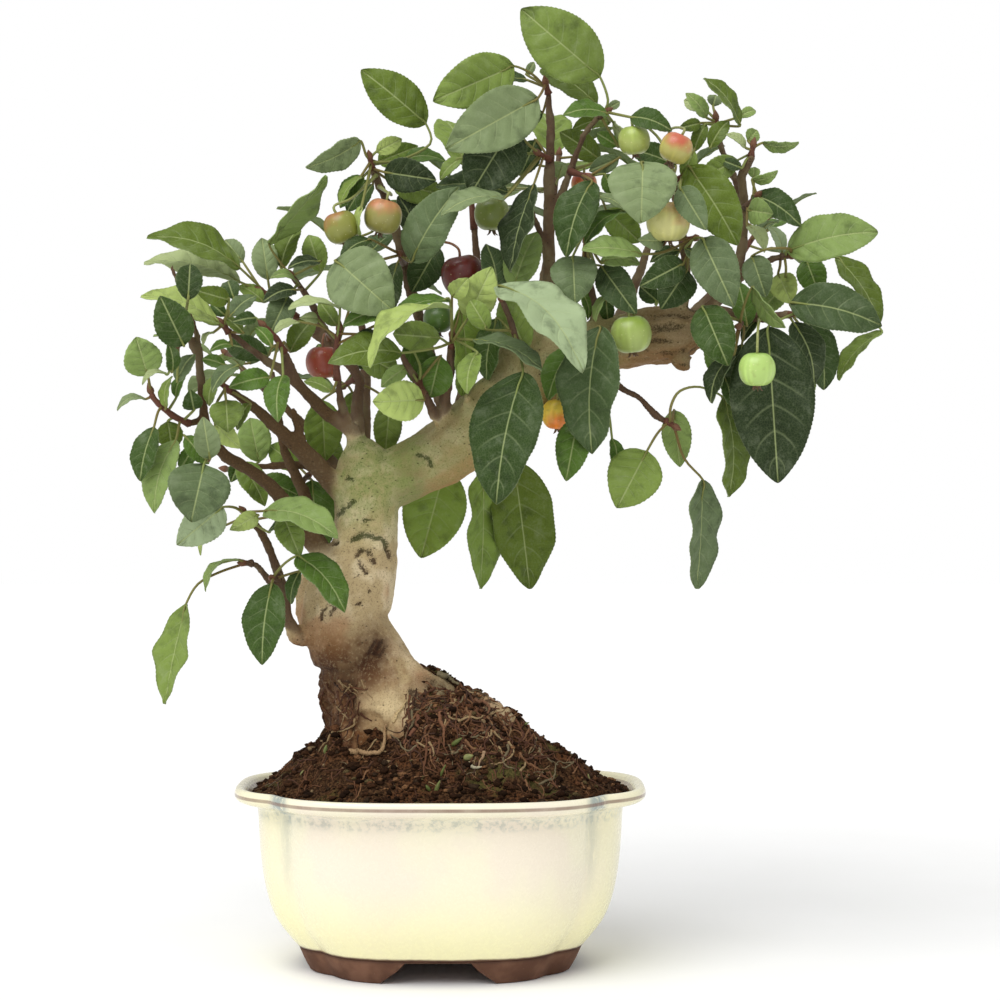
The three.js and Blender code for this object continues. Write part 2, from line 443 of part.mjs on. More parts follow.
// ---- Sprays ----
// twig: its route from the seat outwards. leaves: one row each,
// [base across, base down, tip across, tip down, width shown, depth at base, depth gained to the
// tip, arch, turn, ...places that the petiole passes]; the turn is 1 where the blade's face looks
// up, and -1 where it looks down.
const SPRAYS = {
  left_arch: {
    twig: [[295, 316, 12], [280, 302, 8], [262, 291, 4]],
    leaves: [
      [240, 268, 147, 237, 30, -2, -10, 6, 1],
      [240, 282, 144, 263, 26, 2, 4, 5, 1],
      [243, 262, 225, 240, 20, 12, 6, 2, 1],
      [268, 280, 262, 238, 26, 6, 4, 3, 1],
    ],
  },
  left_peak: {
    twig: [[313, 305, 8], [304, 292, 4], [292, 276, 0]],
    leaves: [
      [269, 244, 327, 176, 21, -2, -8, 1, -1, [280, 262, 0]],
      [281, 268, 301, 226, 20, 4, 6, 3, 1],
      [321, 272, 309, 235, 24, 10, 6, 3, 1],
      [320, 262, 288, 268, 12, -6, -6, 2, 1],
      [296, 281, 270, 278, 9, -4, -6, 3, 1],
      [296, 290, 263, 302, 17, -8, -8, 3, 1],
      [288, 296, 268, 337, 27, -12, -8, 4, 1],
    ],
  },
  left_inner: {
    twig: [[283, 349, -24], [276, 338, -28], [264, 326, -32]],
    leaves: [
      [256, 318, 232, 322, 14, -34, -6, 2, 1],
      [270, 377, 229, 387, 22, -34, -6, 3, 1, [276, 352, -32]],
      [268, 356, 226, 344, 26, -20, 8, 3, 1, [272, 348, -26]],
      [283, 375, 278, 422, 25, -36, -8, 4, 1, [282, 356, -32]],
      [290, 352, 316, 318, 22, -10, 6, 3, 1, [284, 342, -22]],
    ],
  },
  left_bud: {
    twig: [[226, 330, -31], [222, 324, -32]],
    leaves: [
      [219, 323, 141, 296, 22, -34, -10, 4, 1],
      [219, 325, 184, 318, 11, -28, 4, 2, 1],
      [229, 300, 195, 290, 20, -38, -8, 3, 1],
      [234, 299, 228, 281, 18, -26, 6, 2, 1],
      [230, 317, 256, 296, 15, -30, 8, 2, 1],
      [232, 345, 210, 351, 10, -38, -5, 2, 1],
      [214, 332, 203, 345, 5, -36, -4, 2, 1],
    ],
  },
  left_edge: {
    twig: [[180, 334, -42], [178, 344, -47]],
    leaves: [
      [184, 346, 160, 296, 38, -52, -6, 4, 1],
      [188, 300, 190, 264, 26, -38, 6, 3, 1],
      [172, 372, 168, 342, 15, -50, -6, 2, 1, [176, 358, -49]],
      [177, 382, 195, 354, 15, -44, 4, 2, 1, [178, 362, -46]],
      [168, 374, 142, 384, 6, -52, -5, 3, 1, [174, 360, -50]],
    ],
  },
  left_spur: {
    twig: [[187, 424, -32], [172, 415, -36], [155, 400, -38], [151, 392, -38]],
    leaves: [
      [148, 376, 136, 337, 38, -42, -4, 3, 1],
      [146, 399, 117, 410, 8, -38, -4, 3, 1],
      [154, 427, 140, 481, 25, -42, -4, 2, 1, [158, 412, -42]],
      [168, 421, 172, 450, 26, -32, 2, 2, 1],
      [176, 440, 154, 513, 31, -38, -6, 4, 1],
      [194, 410, 190, 390, 20, -38, -4, 2, 1],
    ],
  },
  left_hollow: {
    twig: [[227, 389, -34], [218, 381, -38]],
    leaves: [
      [238, 366, 212, 392, 15, -44, -6, 3, 1],
      [226, 400, 228, 432, 34, -42, -4, 3, 1],
      [215, 425, 240, 448, 21, -36, -4, 3, 1, [216, 405, -38]],
    ],
  },
  left_broad: {
    twig: [[212, 452, -34], [208, 458, -42]],
    leaves: [
      [210, 459, 203, 417, 26, -50, -4, 3, 1],
      [185, 436, 209, 464, 20, -46, 3, 2, 1],
      [204, 464, 191, 522, 62, -56, -6, 5, 1],
    ],
  },
  left_behind: {
    twig: [[239, 472, 20], [226, 469, 23]],
    leaves: [
      [259, 462, 250, 418, 34, 14, 6, 4, 1],
      [262, 478, 300, 496, 26, 26, 4, 3, 1],
      [240, 462, 265, 506, 26, 8, -4, 3, 1],
      [238, 465, 231, 482, 15, 16, -4, 2, 1],
    ],
  },
  left_shade: {
    twig: [[302, 484, 16], [308, 476, 20]],
    leaves: [
      [312, 480, 318, 556, 44, 26, 4, 5, 1],
      [318, 470, 338, 440, 26, 24, 8, 3, 1],
      [300, 468, 270, 446, 26, 30, 8, 3, 1],
    ],
  },
  left_wing: {
    twig: [[251, 521, -17], [244, 512, -21]],
    leaves: [
      [223, 507, 177, 545, 39, -38, -8, 4, 1, [236, 508, -30]],
      [226, 525, 200, 555, 7, -32, -4, 4, 1],
      [258, 515, 230, 530, 18, -30, -6, 3, 1],
      [264, 511, 338, 537, 30, -34, -12, 5, 1],
      [283, 515, 300, 557, 28, -26, -6, 4, 1],
      [268, 532, 298, 522, 7, -24, -4, 2, 1],
    ],
  },
  left_dangle: {
    twig: [[248, 562, -18], [244, 563, -21]],
    leaves: [
      [186, 604, 164, 704, 29, -30, -6, 1, 1, [220, 572, -24], [198, 584, -28]],
      [240, 560, 205, 591, 5, -24, -6, 5, 1],
    ],
  },
  left_foot: {
    twig: [[276, 580, -21], [272, 578, -26]],
    leaves: [
      [272, 583, 262, 665, 41, -34, -6, 4, 1],
      [297, 556, 345, 612, 32, -34, -8, 5, 1, [284, 564, -31]],
    ],
  },
  crest_left: {
    twig: [[371, 166, -4], [370, 158, -7]],
    leaves: [
      [361, 141, 306, 168, 25, -12, -6, 2, -1, [366, 155, -9]],
      [378, 162, 418, 146, 24, -10, -4, 3, -1],
      [392, 182, 446, 196, 30, 14, 4, 3, 1],
      [403, 160, 448, 163, 13, -2, 2, 3, 1],
      [384, 172, 436, 180, 34, 2, -4, 3, 1],
      [364, 176, 340, 208, 18, 4, 4, 3, 1],
      [368, 180, 347, 212, 20, 12, 4, 3, 1],
      [361, 176, 340, 206, 10, -14, -4, 2, 1],
      [426, 124, 361, 70, 43, -8, -4, 4, 1, [400, 160, -8], [430, 144, -9]],
    ],
  },
  shoulder_left: {
    twig: [[405, 264, 0], [400, 254, -8]],
    leaves: [
      [411, 262, 459, 187, 44, -16, -8, 5, 1],
      [438, 246, 412, 292, 34, 2, 4, 3, 1],
      [420, 250, 398, 196, 26, 14, 4, 3, 1],
      [336, 260, 394, 312, 66, -38, -8, 6, 1, [368, 262, -30]],
      [372, 240, 340, 260, 15, -26, -4, 3, 1],
      [398, 262, 390, 312, 24, -2, 6, 3, 1],
    ],
  },
  crown_left: {
    twig: [[337, 376, -21], [336, 352, -24], [339, 330, -25]],
    leaves: [
      [352, 300, 334, 297, 12, -26, -4, 2, 1],
      [340, 308, 288, 309, 7, -28, -6, 3, 1],
      [398, 314, 343, 326, 21, -34, -4, 4, 1],
      [360, 352, 398, 374, 30, -12, 6, 3, 1, [348, 346, -20]],
      [318, 320, 300, 318, 11, -24, -6, 2, 1],
      [300, 322, 274, 333, 9, -20, -6, 2, 1, [320, 326, -24]],
      [378, 335, 350, 345, 20, -30, -4, 2, 1],
    ],
  },
  crown_under: {
    twig: [[352, 384, 14], [344, 386, 20]],
    leaves: [
      [322, 400, 325, 461, 38, 24, 4, 4, 1],
      [352, 392, 350, 432, 22, 26, 4, 3, 1],
      [332, 376, 318, 344, 22, 26, 6, 3, 1],
      [356, 368, 380, 336, 26, 26, 6, 3, 1],
      [390, 402, 385, 455, 28, 18, 2, 4, 1, [370, 388, 24]],
    ],
  },
  crotch_round: {
    twig: [[417, 388, -24], [422, 392, -29]],
    leaves: [
      [424, 400, 373, 402, 40, -36, -6, 3, 1],
      [440, 356, 430, 398, 36, -22, 6, 3, 1],
      [408, 340, 436, 394, 34, -8, 6, 3, 1, [420, 366, -20]],
    ],
  },
  crotch_bud: {
    twig: [[452, 343, -17], [452, 336, -21]],
    leaves: [
      [450, 307, 369, 367, 17, -44, -12, 9, 1, [452, 320, -32]],
      [468, 318, 492, 267, 38, -40, -6, 5, -1, [460, 330, -32]],
      [402, 353, 328, 363, 32, -34, -6, 5, 1, [436, 348, -28]],
      [450, 301, 393, 316, 13, -30, -4, 3, 1],
      [452, 297, 468, 278, 20, -26, -4, 2, 1],
      [473, 340, 542, 370, 15, -34, -10, 4, 1],
      [477, 352, 467, 394, 21, -36, -6, 3, 1, [464, 344, -30]],
      [460, 308, 462, 396, 30, -12, 6, 3, 1, [457, 322, -16]],
      [440, 338, 393, 334, 30, -14, 6, 3, 1],
    ],
  },
  limb_front: {
    twig: [[516, 350, -22], [511, 322, -30], [502, 300, -34]],
    leaves: [
      [498, 286, 583, 372, 46, -40, -22, 9, 1],
      [526, 350, 502, 297, 34, -32, 2, 3, 1],
      [513, 290, 537, 232, 34, -12, 8, 4, 1, [505, 298, -24]],
      [523, 372, 496, 504, 68, -44, -12, 6, 1, [520, 356, -34]],
      [498, 318, 487, 380, 26, -16, 6, 3, 1],
      [498, 294, 486, 244, 26, -6, 6, 3, 1],
      [488, 330, 470, 300, 22, -24, 4, 3, 1],
    ],
  },
  leader_top: {
    twig: [[548, 90, -4], [546, 84, -6]],
    leaves: [
      [514, 66, 433, 101, 51, -10, -6, 5, 1, [532, 74, -8]],
      [527, 80, 480, 88, 13, 2, 4, 3, 1],
      [527, 75, 534, 62, 9, -2, 2, 1, 1],
      [538, 98, 446, 149, 58, -18, -10, 6, 1],
      [543, 112, 512, 125, 19, 4, 4, 3, 1],
    ],
  },
  leader_side: {
    twig: [[544, 158, -9], [538, 153, -13]],
    leaves: [
      [512, 127, 470, 195, 62, -22, -4, 5, 1, [530, 146, -18]],
      [534, 184, 510, 272, 28, -22, -8, 2, 1],
      [505, 198, 441, 215, 17, -28, -6, 4, 1],
      [508, 192, 436, 186, 27, -10, 2, 3, 1],
      [536, 140, 520, 176, 24, 10, 4, 3, 1],
    ],
  },
  summit: {
    twig: [[601, 114, -7], [606, 112, -9]],
    leaves: [
      [600, 77, 521, 9, 62, -12, -4, 7, 1, [608, 100, -11]],
      [597, 105, 540, 70, 28, 2, 4, 4, 1],
      [608, 114, 563, 115, 17, -16, -6, 3, 1],
      [610, 122, 572, 130, 17, -10, -4, 3, 1],
      [608, 108, 620, 102, 9, -4, 2, 1, 1],
      [613, 122, 645, 148, 15, -22, -6, 3, -1],
      [630, 117, 672, 131, 20, -6, -4, 3, 1],
    ],
  },
  inner_fan: {
    twig: [[580, 174, -10], [588, 177, -15]],
    leaves: [
      [592, 181, 566, 257, 40, -28, -6, 5, 1],
      [596, 197, 625, 210, 9, -22, -6, 2, 1],
      [604, 174, 618, 196, 18, -14, 4, 2, 1],
      [600, 160, 560, 132, 26, 4, 4, 3, 1],
      [606, 210, 640, 242, 30, 2, 4, 3, 1, [600, 196, -6]],
    ],
  },
  inner_low: {
    twig: [[586, 238, -9], [585, 230, -12]],
    leaves: [
      [573, 256, 575, 304, 46, -26, -8, 4, 1],
      [601, 266, 636, 314, 34, -22, -8, 4, 1, [590, 262, -18]],
      [610, 293, 595, 321, 9, -22, -4, 2, 1, [596, 268, -18]],
      [600, 262, 640, 264, 16, -10, 4, 3, 1],
    ],
  },
  right_fan: {
    twig: [[673, 182, -14], [684, 176, -18]],
    leaves: [
      [643, 162, 641, 223, 68, -40, -6, 6, 1, [668, 174, -30]],
      [688, 166, 738, 245, 48, -20, -2, 5, 1],
      [680, 187, 706, 230, 28, -30, -6, 4, 1],
      [676, 166, 630, 150, 24, 2, 4, 3, 1],
    ],
  },
  right_heart: {
    twig: [[690, 240, -20], [695, 238, -25]],
    leaves: [
      [702, 238, 734, 307, 46, -36, -8, 5, 1],
      [684, 263, 640, 286, 30, -34, -6, 4, 1],
      [687, 270, 661, 309, 38, -24, -4, 4, 1],
      [664, 241, 638, 240, 19, -30, -6, 3, 1],
      [642, 254, 582, 249, 20, -34, -4, 2, 1, [664, 252, -32]],
      [685, 248, 712, 291, 17, -28, -4, 4, 1],
      [626, 211, 585, 245, 15, -24, -4, 4, 1, [660, 222, -25]],
    ],
  },
  right_bud: {
    twig: [[750, 208, -6], [757, 196, -9]],
    leaves: [
      [753, 195, 801, 226, 27, -6, -6, 4, 1],
      [748, 210, 773, 214, 27, -16, -4, 3, 1],
      [747, 226, 765, 252, 12, -8, -4, 3, 1],
      [752, 180, 778, 171, 11, -10, -2, 2, -1],
      [754, 178, 754, 167, 12, -2, 2, 1, -1],
    ],
  },
  right_tip: {
    twig: [[753, 152, -6], [753, 146, -7]],
    leaves: [
      [762, 143, 799, 143, 12, -8, -2, 2, -1],
      [748, 141, 757, 130, 15, -4, 2, 1, 1],
      [746, 148, 726, 134, 9, -8, -2, 2, 1],
      [742, 168, 722, 160, 12, -8, 2, 2, 1, [746, 160, -7]],
      [738, 160, 700, 178, 24, 6, 4, 3, 1, [746, 156, 0]],
    ],
  },
  right_crest: {
    twig: [[716, 126, 8], [716, 119, 7]],
    leaves: [
      [740, 126, 704, 78, 14, -2, -4, 3, 1, [728, 126, 2]],
      [707, 118, 686, 93, 15, 4, -2, 2, 1],
      [704, 108, 684, 100, 14, 10, 4, 2, 1],
      [713, 106, 716, 95, 15, 10, 2, 1, 1],
      [701, 123, 679, 128, 13, 2, -2, 2, 1],
      [739, 117, 756, 111, 10, 10, 3, 2, 1],
      [710, 148, 729, 121, 17, -4, 2, 3, 1, [710, 134, 0]],
    ],
  },
  right_wing: {
    twig: [[784, 256, -4], [790, 256, -5]],
    leaves: [
      [787, 251, 878, 232, 45, -8, -4, 6, 1],
      [836, 257, 880, 323, 24, 12, -2, 3, 1, [806, 257, 4]],
      [752, 256, 766, 297, 30, -22, -4, 4, 1, [790, 249, -12], [768, 249, -19]],
      [782, 254, 768, 226, 13, -2, 2, 3, 1],
      [806, 259, 820, 296, 30, 6, -2, 4, 1],
      [778, 274, 792, 304, 28, 4, -4, 3, 1, [780, 266, 2]],
      [784, 286, 756, 316, 24, -8, -4, 3, 1, [786, 270, -6]],
    ],
  },
  right_skirt: {
    twig: [[792, 314, -18], [797, 313, -21]],
    leaves: [
      [790, 303, 882, 326, 46, -26, -4, 7, 1],
      [768, 327, 778, 483, 84, -30, -4, 1, 1, [784, 318, -26]],
      [793, 322, 814, 386, 30, -16, 2, 5, 1],
      [806, 320, 824, 390, 34, -10, 4, 6, 1],
      [814, 376, 798, 454, 28, 2, 0, 5, 1, [806, 336, -6]],
      [882, 331, 838, 380, 15, 4, 4, 3, 1, [836, 316, -6], [866, 318, 0]],
    ],
  },
  right_knee: {
    twig: [[744, 323, -21], [739, 326, -26]],
    leaves: [
      [703, 306, 728, 366, 42, -38, -6, 5, 1, [722, 314, -32]],
      [708, 342, 715, 378, 18, -24, 2, 3, 1],
      [734, 355, 711, 403, 19, -30, -2, 4, 1],
      [742, 344, 740, 396, 34, -14, 4, 4, 1, [744, 332, -18]],
      [752, 287, 785, 328, 14, -32, -4, 2, -1, [744, 306, -30]],
      [747, 326, 738, 282, 24, -10, 4, 3, 1],
    ],
  },
  hanging_shoot: {
    twig: [[669, 423, -16], [674, 426, -18]],
    leaves: [
      [647, 451, 617, 508, 54, -24, -4, 4, 1, [657, 434, -20]],
      [674, 410, 680, 467, 30, -24, -2, 3, 1],
      [723, 397, 729, 497, 29, -20, 2, 4, 1, [671, 406, -24], [680, 391, -24], [700, 387, -22]],
      [703, 480, 697, 589, 30, -12, 0, 1, -1, [684, 458, -12]],
    ],
  },
  limb_curtain: {
    twig: [[588, 330, -20], [582, 338, -30]],
    leaves: [
      [600, 326, 592, 454, 60, -36, -4, 6, 1],
      [574, 346, 548, 400, 28, -22, -2, 4, 1],
      [578, 418, 566, 481, 34, -30, -4, 4, 1, [572, 372, -28], [582, 402, -28]],
      [612, 438, 612, 470, 13, -22, 2, 3, 1, [606, 400, -24]],
      [578, 350, 582, 412, 26, -18, 2, 4, 1],
    ],
  },
  limb_hanging: {
    twig: [[482, 464, 28], [488, 470, 31], [512, 470, 33]],
    leaves: [
      [445, 468, 421, 558, 63, 18, -2, 3, 1],
      [484, 468, 481, 589, 38, 28, 2, 1, -1],
      [514, 462, 530, 589, 63, 36, 2, 1, 1],
    ],
  },
};

// The shoots at the back of the crown, set by rule: each leaf a golden angle on from the last.
const BACK_SPRAYS = {
  back_left_spray: { along: "back_left", leaves: 6, size: 32 },
  back_crown_spray: { along: "back_crown", leaves: 6, size: 34 },
  back_middle_spray: { along: "back_middle", leaves: 7, size: 36 },
  back_leader_spray: { along: "back_leader", leaves: 7, size: 35 },
  back_right_spray: { along: "back_right", leaves: 6, size: 34 },
  back_far_right_spray: { along: "back_far_right", leaves: 6, size: 27 },
};
const GOLDEN_ANGLE = 2.39996;
const BACK_TWIG = 27; // length of the shoot that carries them
const BACK_PETIOLE = 9;

// A blade laid out between its base and tip: rib is its length's direction, face the way it looks.
function bladeOf(base, tip, shown, turn, arch, route) {
  const rib = tip.clone().sub(base);
  const length = rib.length();
  rib.normalize();
  const toEye = EYE.clone().sub(base.clone().lerp(tip, 0.5)).normalize();
  const flat = toEye.addScaledVector(rib, -toEye.dot(rib)).normalize();
  const side = new THREE.Vector3().crossVectors(rib, flat);
  const width = Math.max(shown, LEAF_RATIO * length);
  const roll = Math.acos(shown / width) * (side.z * turn > 0 ? 1 : -1);
  const face = flat.multiplyScalar(Math.cos(roll)).addScaledVector(side, Math.sin(roll));
  return { base, tip, width, face, arch, route };
}

function sheetBlade(row) {
  const [baseAcross, baseDown, tipAcross, tipDown, shown, depth, gain, arch, turn, ...route] = row;
  const base = place([baseAcross, baseDown, depth]);
  const tip = place([tipAcross, tipDown, depth + gain]);
  const width = shown * SQUARE * (1 + depth / -EYE.y);
  return bladeOf(base, tip, width, turn, arch, route.map(place));
}

// One leaf of a back shoot: it stands out from it, the lower ones drooping and the upper ones rising.
function backBlade(twig, index, { leaves, size }) {
  const along = (index + 0.6) / leaves;
  const start = twig[0].clone().lerp(twig[1], along);
  const shoot = twig[1].clone().sub(twig[0]).normalize();
  const swing = new THREE.Vector3(Math.cos(index * GOLDEN_ANGLE), Math.sin(index * GOLDEN_ANGLE), 0);
  const out = swing.addScaledVector(shoot, 0.45).normalize();
  const rise = new THREE.Vector3(0, 0, 1.1 * along - 0.7);
  const base = start.clone().addScaledVector(out, BACK_PETIOLE);
  const length = size * (0.8 + 0.25 * Math.sin(index * 2.3));
  const tip = base.clone().addScaledVector(out.clone().add(rise).normalize(), length);
  const rib = tip.clone().sub(base).normalize();
  const face = new THREE.Vector3(0, 0, 1).addScaledVector(rib, -rib.z).normalize();
  return { base, tip, width: LEAF_RATIO * length, face, arch: 0.12 * length, route: [] };
}

// How broad a blade is at t along its rib, as a share of its full width.
function bladeShape(t) {
  return Math.sin(Math.PI * t ** 0.8) ** 0.75;
}

const LONG_BLADE = 46; // blades longer than this get four stations, and shorter ones fewer
const MIDDLING_BLADE = 31;
const SHORT_BLADE = 18;
const LEAST_BLADE = 14.5; // blades smaller than this are left out as too slight to model

function stationsOf(length) {
  if (length > LONG_BLADE) return [0.16, 0.4, 0.66, 0.86];
  if (length > MIDDLING_BLADE) return [0.2, 0.52, 0.82];
  if (length > SHORT_BLADE) return [0.28, 0.72];
  return [0.48];
}

// A blade's rings run from above the rib round by one edge to below the rib, and back by the other.
// Each table joins one set of corners to the next, with both faces split along like diagonals.
const NECK_FACES = [[0, 4, 3], [0, 1, 4], [1, 5, 4], [1, 6, 5], [1, 2, 6], [2, 7, 6], [2, 8, 7],
  [2, 0, 8], [0, 3, 8]];
const SPAN_FACES = [[0, 1, 7], [0, 7, 6], [1, 2, 8], [1, 8, 7], [2, 3, 8], [3, 9, 8], [3, 4, 10],
  [3, 10, 9], [4, 5, 11], [4, 11, 10], [5, 0, 11], [0, 6, 11]];
const TIP_FACES = [[0, 1, 6], [1, 2, 7], [1, 7, 6], [2, 3, 7], [3, 4, 7], [4, 5, 6], [4, 6, 7],
  [5, 0, 6]];

// A leaf's one solid: a three-sided stalk that opens into a folded, arched and waved blade. Its stalk
// starts with the points of a shoot where the leaf ends one, or with a single point inside it.
function leafSolid(blade, shoot) {
  const { base, tip, width, face, arch, route } = blade;
  const length = base.distanceTo(tip);
  const rib = tip.clone().sub(base).normalize();
  const side = new THREE.Vector3().crossVectors(rib, face);
  const half = LEAF_THICKNESS / 2;
  const stem = [...shoot, ...route, base];
  const rings = [];
  const up = face.clone();
  for (let i = stem.length - 1; i >= 0; i -= 1) {
    const ahead = stem[i + 1] ?? tip;
    const along = ahead.clone().sub(i ? stem[i - 1] : stem[i]).normalize();
    up.addScaledVector(along, -up.dot(along)).normalize();
    const across = new THREE.Vector3().crossVectors(along, up);
    const radius = shoot.length > 1 && i < shoot.length ? TWIG_RADIUS : PETIOLE_RADIUS;
    const ring = [0, 1, 2].map((k) => {
      const angle = (2 * Math.PI * k) / 3;
      return stem[i]
        .clone()
        .addScaledVector(up, radius * Math.cos(angle))
        .addScaledVector(across, radius * Math.sin(angle));
    });
    rings.unshift(ring);
  }
  const points = rings.flat();
  const faces = [];
  faces.push([0, 2, 1]);
  for (let i = 0; i + 1 < stem.length; i += 1) {
    for (let k = 0; k < 3; k += 1) {
      const a = 3 * i + k;
      const b = 3 * i + ((k + 1) % 3);
      faces.push([a, b, b + 3], [a, b + 3, a + 3]);
    }
  }
  const stations = stationsOf(length);
  const first = points.length;
  stations.forEach((t, i) => {
    const reach = (width / 2) * bladeShape(t);
    const spine = base
      .clone()
      .addScaledVector(rib, length * t)
      .addScaledVector(face, arch * 4 * t * (1 - t));
    const lift = LEAF_FOLD * reach;
    const wave = LEAF_WAVE * width * (i % 2 ? 1 : -1);
    const corner = (across, up) => {
      return spine.clone().addScaledVector(side, across).addScaledVector(face, up);
    };
    points.push(corner(0, half), corner(reach, half + lift + wave));
    points.push(corner(reach, lift + wave - half), corner(0, -half));
    points.push(corner(-reach, lift - wave - half), corner(-reach, half + lift - wave));
  });
  const end = points.length - 6;
  points.push(tip.clone().addScaledVector(face, half), tip.clone().addScaledVector(face, -half));
  const join = (table, from) => faces.push(...table.map((corners) => corners.map((k) => k + from)));
  join(NECK_FACES, first - 3);
  for (let i = 0; i + 1 < stations.length; i += 1) join(SPAN_FACES, first + 6 * i);
  join(TIP_FACES, end);
  return solid(points, faces);
}

// ---- Fruit ----
// [across, down, depth, diameter in squares, then where its stalk leaves the wood].
const APPLES = {
  blushed_left: { middle: [341, 227, -24], size: 35, stalk: [[370, 178, -10], [352, 198, -20]], lean: 0.3 },
  peach: { middle: [383, 216, -22], size: 38, stalk: [[389, 184, -8], [391, 195, -16]], lean: -0.25 },
  maroon: { middle: [463, 275, -8], size: 44, stalk: [[414, 248, 2], [440, 242, -2]], lean: 0.2 },
  dull_red: { middle: [323, 362, -5], size: 35, stalk: [[326, 340, 2], [325, 334, -3]], lean: 0 },
  green_limb: { middle: [631, 334, -28], size: 41, stalk: [[632, 306, -14], [633, 303, -22]], lean: 0.1 },
  pale_hanging: { middle: [757, 369, -52], size: 37, stalk: [[758, 322, -26], [758, 328, -48]], lean: 0 },
  blushed_right: { middle: [676, 148, -28], size: 33, stalk: [[668, 150, -10], [670, 130, -16]], lean: -0.4 },
  yellow_green: { middle: [634, 140, -20], size: 32, stalk: [[672, 172, -13], [660, 140, 0], [640, 122, -10]], lean: 0.1 },
  golden: { middle: [668, 221, -34], size: 44, stalk: [[677, 198, -22], [675, 194, -28]], lean: 0 },
  orange: { middle: [558, 414, -14], size: 33, stalk: [[560, 396, -8], [559, 393, -12]], lean: 0 },
  small_orange: { middle: [584, 184, 4], size: 26, stalk: [[576, 172, 0], [582, 166, 3]], lean: 0 },
  olive: { middle: [492, 214, 6], size: 36, stalk: [[538, 190, 0], [505, 188, 3]], lean: 0 },
  dark_green: { middle: [438, 319, -4], size: 30, stalk: [[426, 306, 6], [434, 298, 0]], lean: 0 },
};
const STALK_RADIUS = 0.8;
const APPLE_ROUND = 7;
const APPLE_TALL = 0.94; // an apple's height to its width
// Down an apple from its stalk dimple to the rim of its dried calyx: shares of its width and height.
const APPLE_PROFILE = [
  [0.1, 0.36],
  [0.3, 0.46],
  [0.48, 0.2],
  [0.49, -0.08],
  [0.34, -0.38],
  [0.12, -0.42],
  [0.15, -0.53],
];

function appleAxis(lean) {
  return new THREE.Vector3(-Math.sin(lean), -0.12, Math.cos(lean)).normalize();
}

function makeApple({ middle, size, stalk, lean }) {
  const centre = place(middle);
  const width = size * SQUARE * (1 + middle[2] / -EYE.y);
  const axis = appleAxis(lean);
  const turn = new THREE.Quaternion().setFromUnitVectors(new THREE.Vector3(0, 0, 1), axis);
  const rings = APPLE_PROFILE.map(([reach, height]) => {
    return Array.from({ length: APPLE_ROUND }, (_, k) => {
      const angle = (-2 * Math.PI * k) / APPLE_ROUND;
      const point = new THREE.Vector3(Math.cos(angle), Math.sin(angle), 0);
      point.multiplyScalar(reach * width).setZ(height * width * APPLE_TALL);
      return point.applyQuaternion(turn).add(centre);
    });
  });
  const places = stalk.map(place);
  const seat = seatFor(places[0], places[1], STALK_RADIUS);
  const above = centre.clone().addScaledVector(axis, width * APPLE_TALL * 0.62);
  const dimple = centre.clone().addScaledVector(axis, width * APPLE_TALL * 0.3);
  const points = [...routeFrom(seat, places.slice(1)), above, dimple];
  const radii = points.map(() => STALK_RADIUS);
  return union([loft(rings), bar(points, radii, 3)]);
}

// ---- Setting the sprays so that none touches another piece ----
const placed = [];

function boxOf(body) {
  const { min, max } = body.boundingBox();
  return new THREE.Box3(new THREE.Vector3(...min), new THREE.Vector3(...max));
}

function keep(node, body) {
  placed.push({ node, body, box: boxOf(body).expandByScalar(CLEARANCE) });
}

function isClear(node, body) {
  const box = boxOf(body);
  return placed.every((other) => {
    if (other.node === node || !other.box.intersectsBox(box)) return true;
    return body.minGap(other.body, CLEARANCE) >= CLEARANCE;
  });
}

const SLIGHT = 0.02; // mm3 by which petioles may meet at their roots
// How far a leaf may be swung back or forward to clear its neighbours, tried in this order.
const SWINGS = [0, -2, 2, -4, 4, -6, 6, -9, 9, -12, 12, -16, 16, -20, 20];

function swung(blade, distance) {
  const shift = (point) => {
    const sight = point.clone().sub(EYE).normalize();
    return point.clone().addScaledVector(sight, distance);
  };
  return { ...blade, base: shift(blade.base), tip: shift(blade.tip) };
}

// The leaf at the first swing that clears every other piece and crosses no leaf of its own spray, or
// else the one that crosses them least.
function settle(node, blade, start, siblings) {
  let best = null;
  let least = Infinity;
  for (const distance of SWINGS) {
    const moved = swung(blade, distance);
    const leaf = leafSolid(moved, [start]);
    if (!isClear(node, leaf)) continue;
    const crossing = siblings.reduce((sum, other) => sum + leaf.intersect(other).volume(), 0);
    if (crossing < least) {
      best = { leaf, moved };
      least = crossing;
    }
    if (crossing < SLIGHT) break;
  }
  return best;
}

// How far along a route its nearest point to a place lies.
function alongTo(route, target) {
  let best = { distance: Infinity };
  let run = 0;
  for (let i = 0; i + 1 < route.length; i += 1) {
    const line = new THREE.Line3(route[i], route[i + 1]);
    const t = line.closestPointToPointParameter(target, true);
    const distance = line.at(t, new THREE.Vector3()).distanceTo(target);
    if (distance < best.distance) best = { distance, along: run + line.distance() * t };
    run += line.distance();
  }
  return best.along;
}

function pointAlong(route, along) {
  let left = along;
  for (let i = 0; i + 1 < route.length; i += 1) {
    const step = route[i].distanceTo(route[i + 1]);
    if (left <= step) return route[i].clone().lerp(route[i + 1], left / step);
    left -= step;
  }
  return route[route.length - 1].clone();
}

// Which leaf carries its shoot on: the longest of those that lie ahead of its end.
const LEAD_AHEAD = 0.3; // least cosine of the bend between the shoot and that leaf's stalk

function leadOf(route, blades, targets) {
  const [before, end] = route.slice(-2);
  const ahead = end.clone().sub(before).normalize();
  const lengths = blades.map(({ base, tip }, i) => {
    const bend = targets[i].clone().sub(end).normalize().dot(ahead);
    return bend > LEAD_AHEAD ? base.distanceTo(tip) : 0;
  });
  const longest = Math.max(...lengths);
  return longest > 0 ? lengths.indexOf(longest) : -1;
}

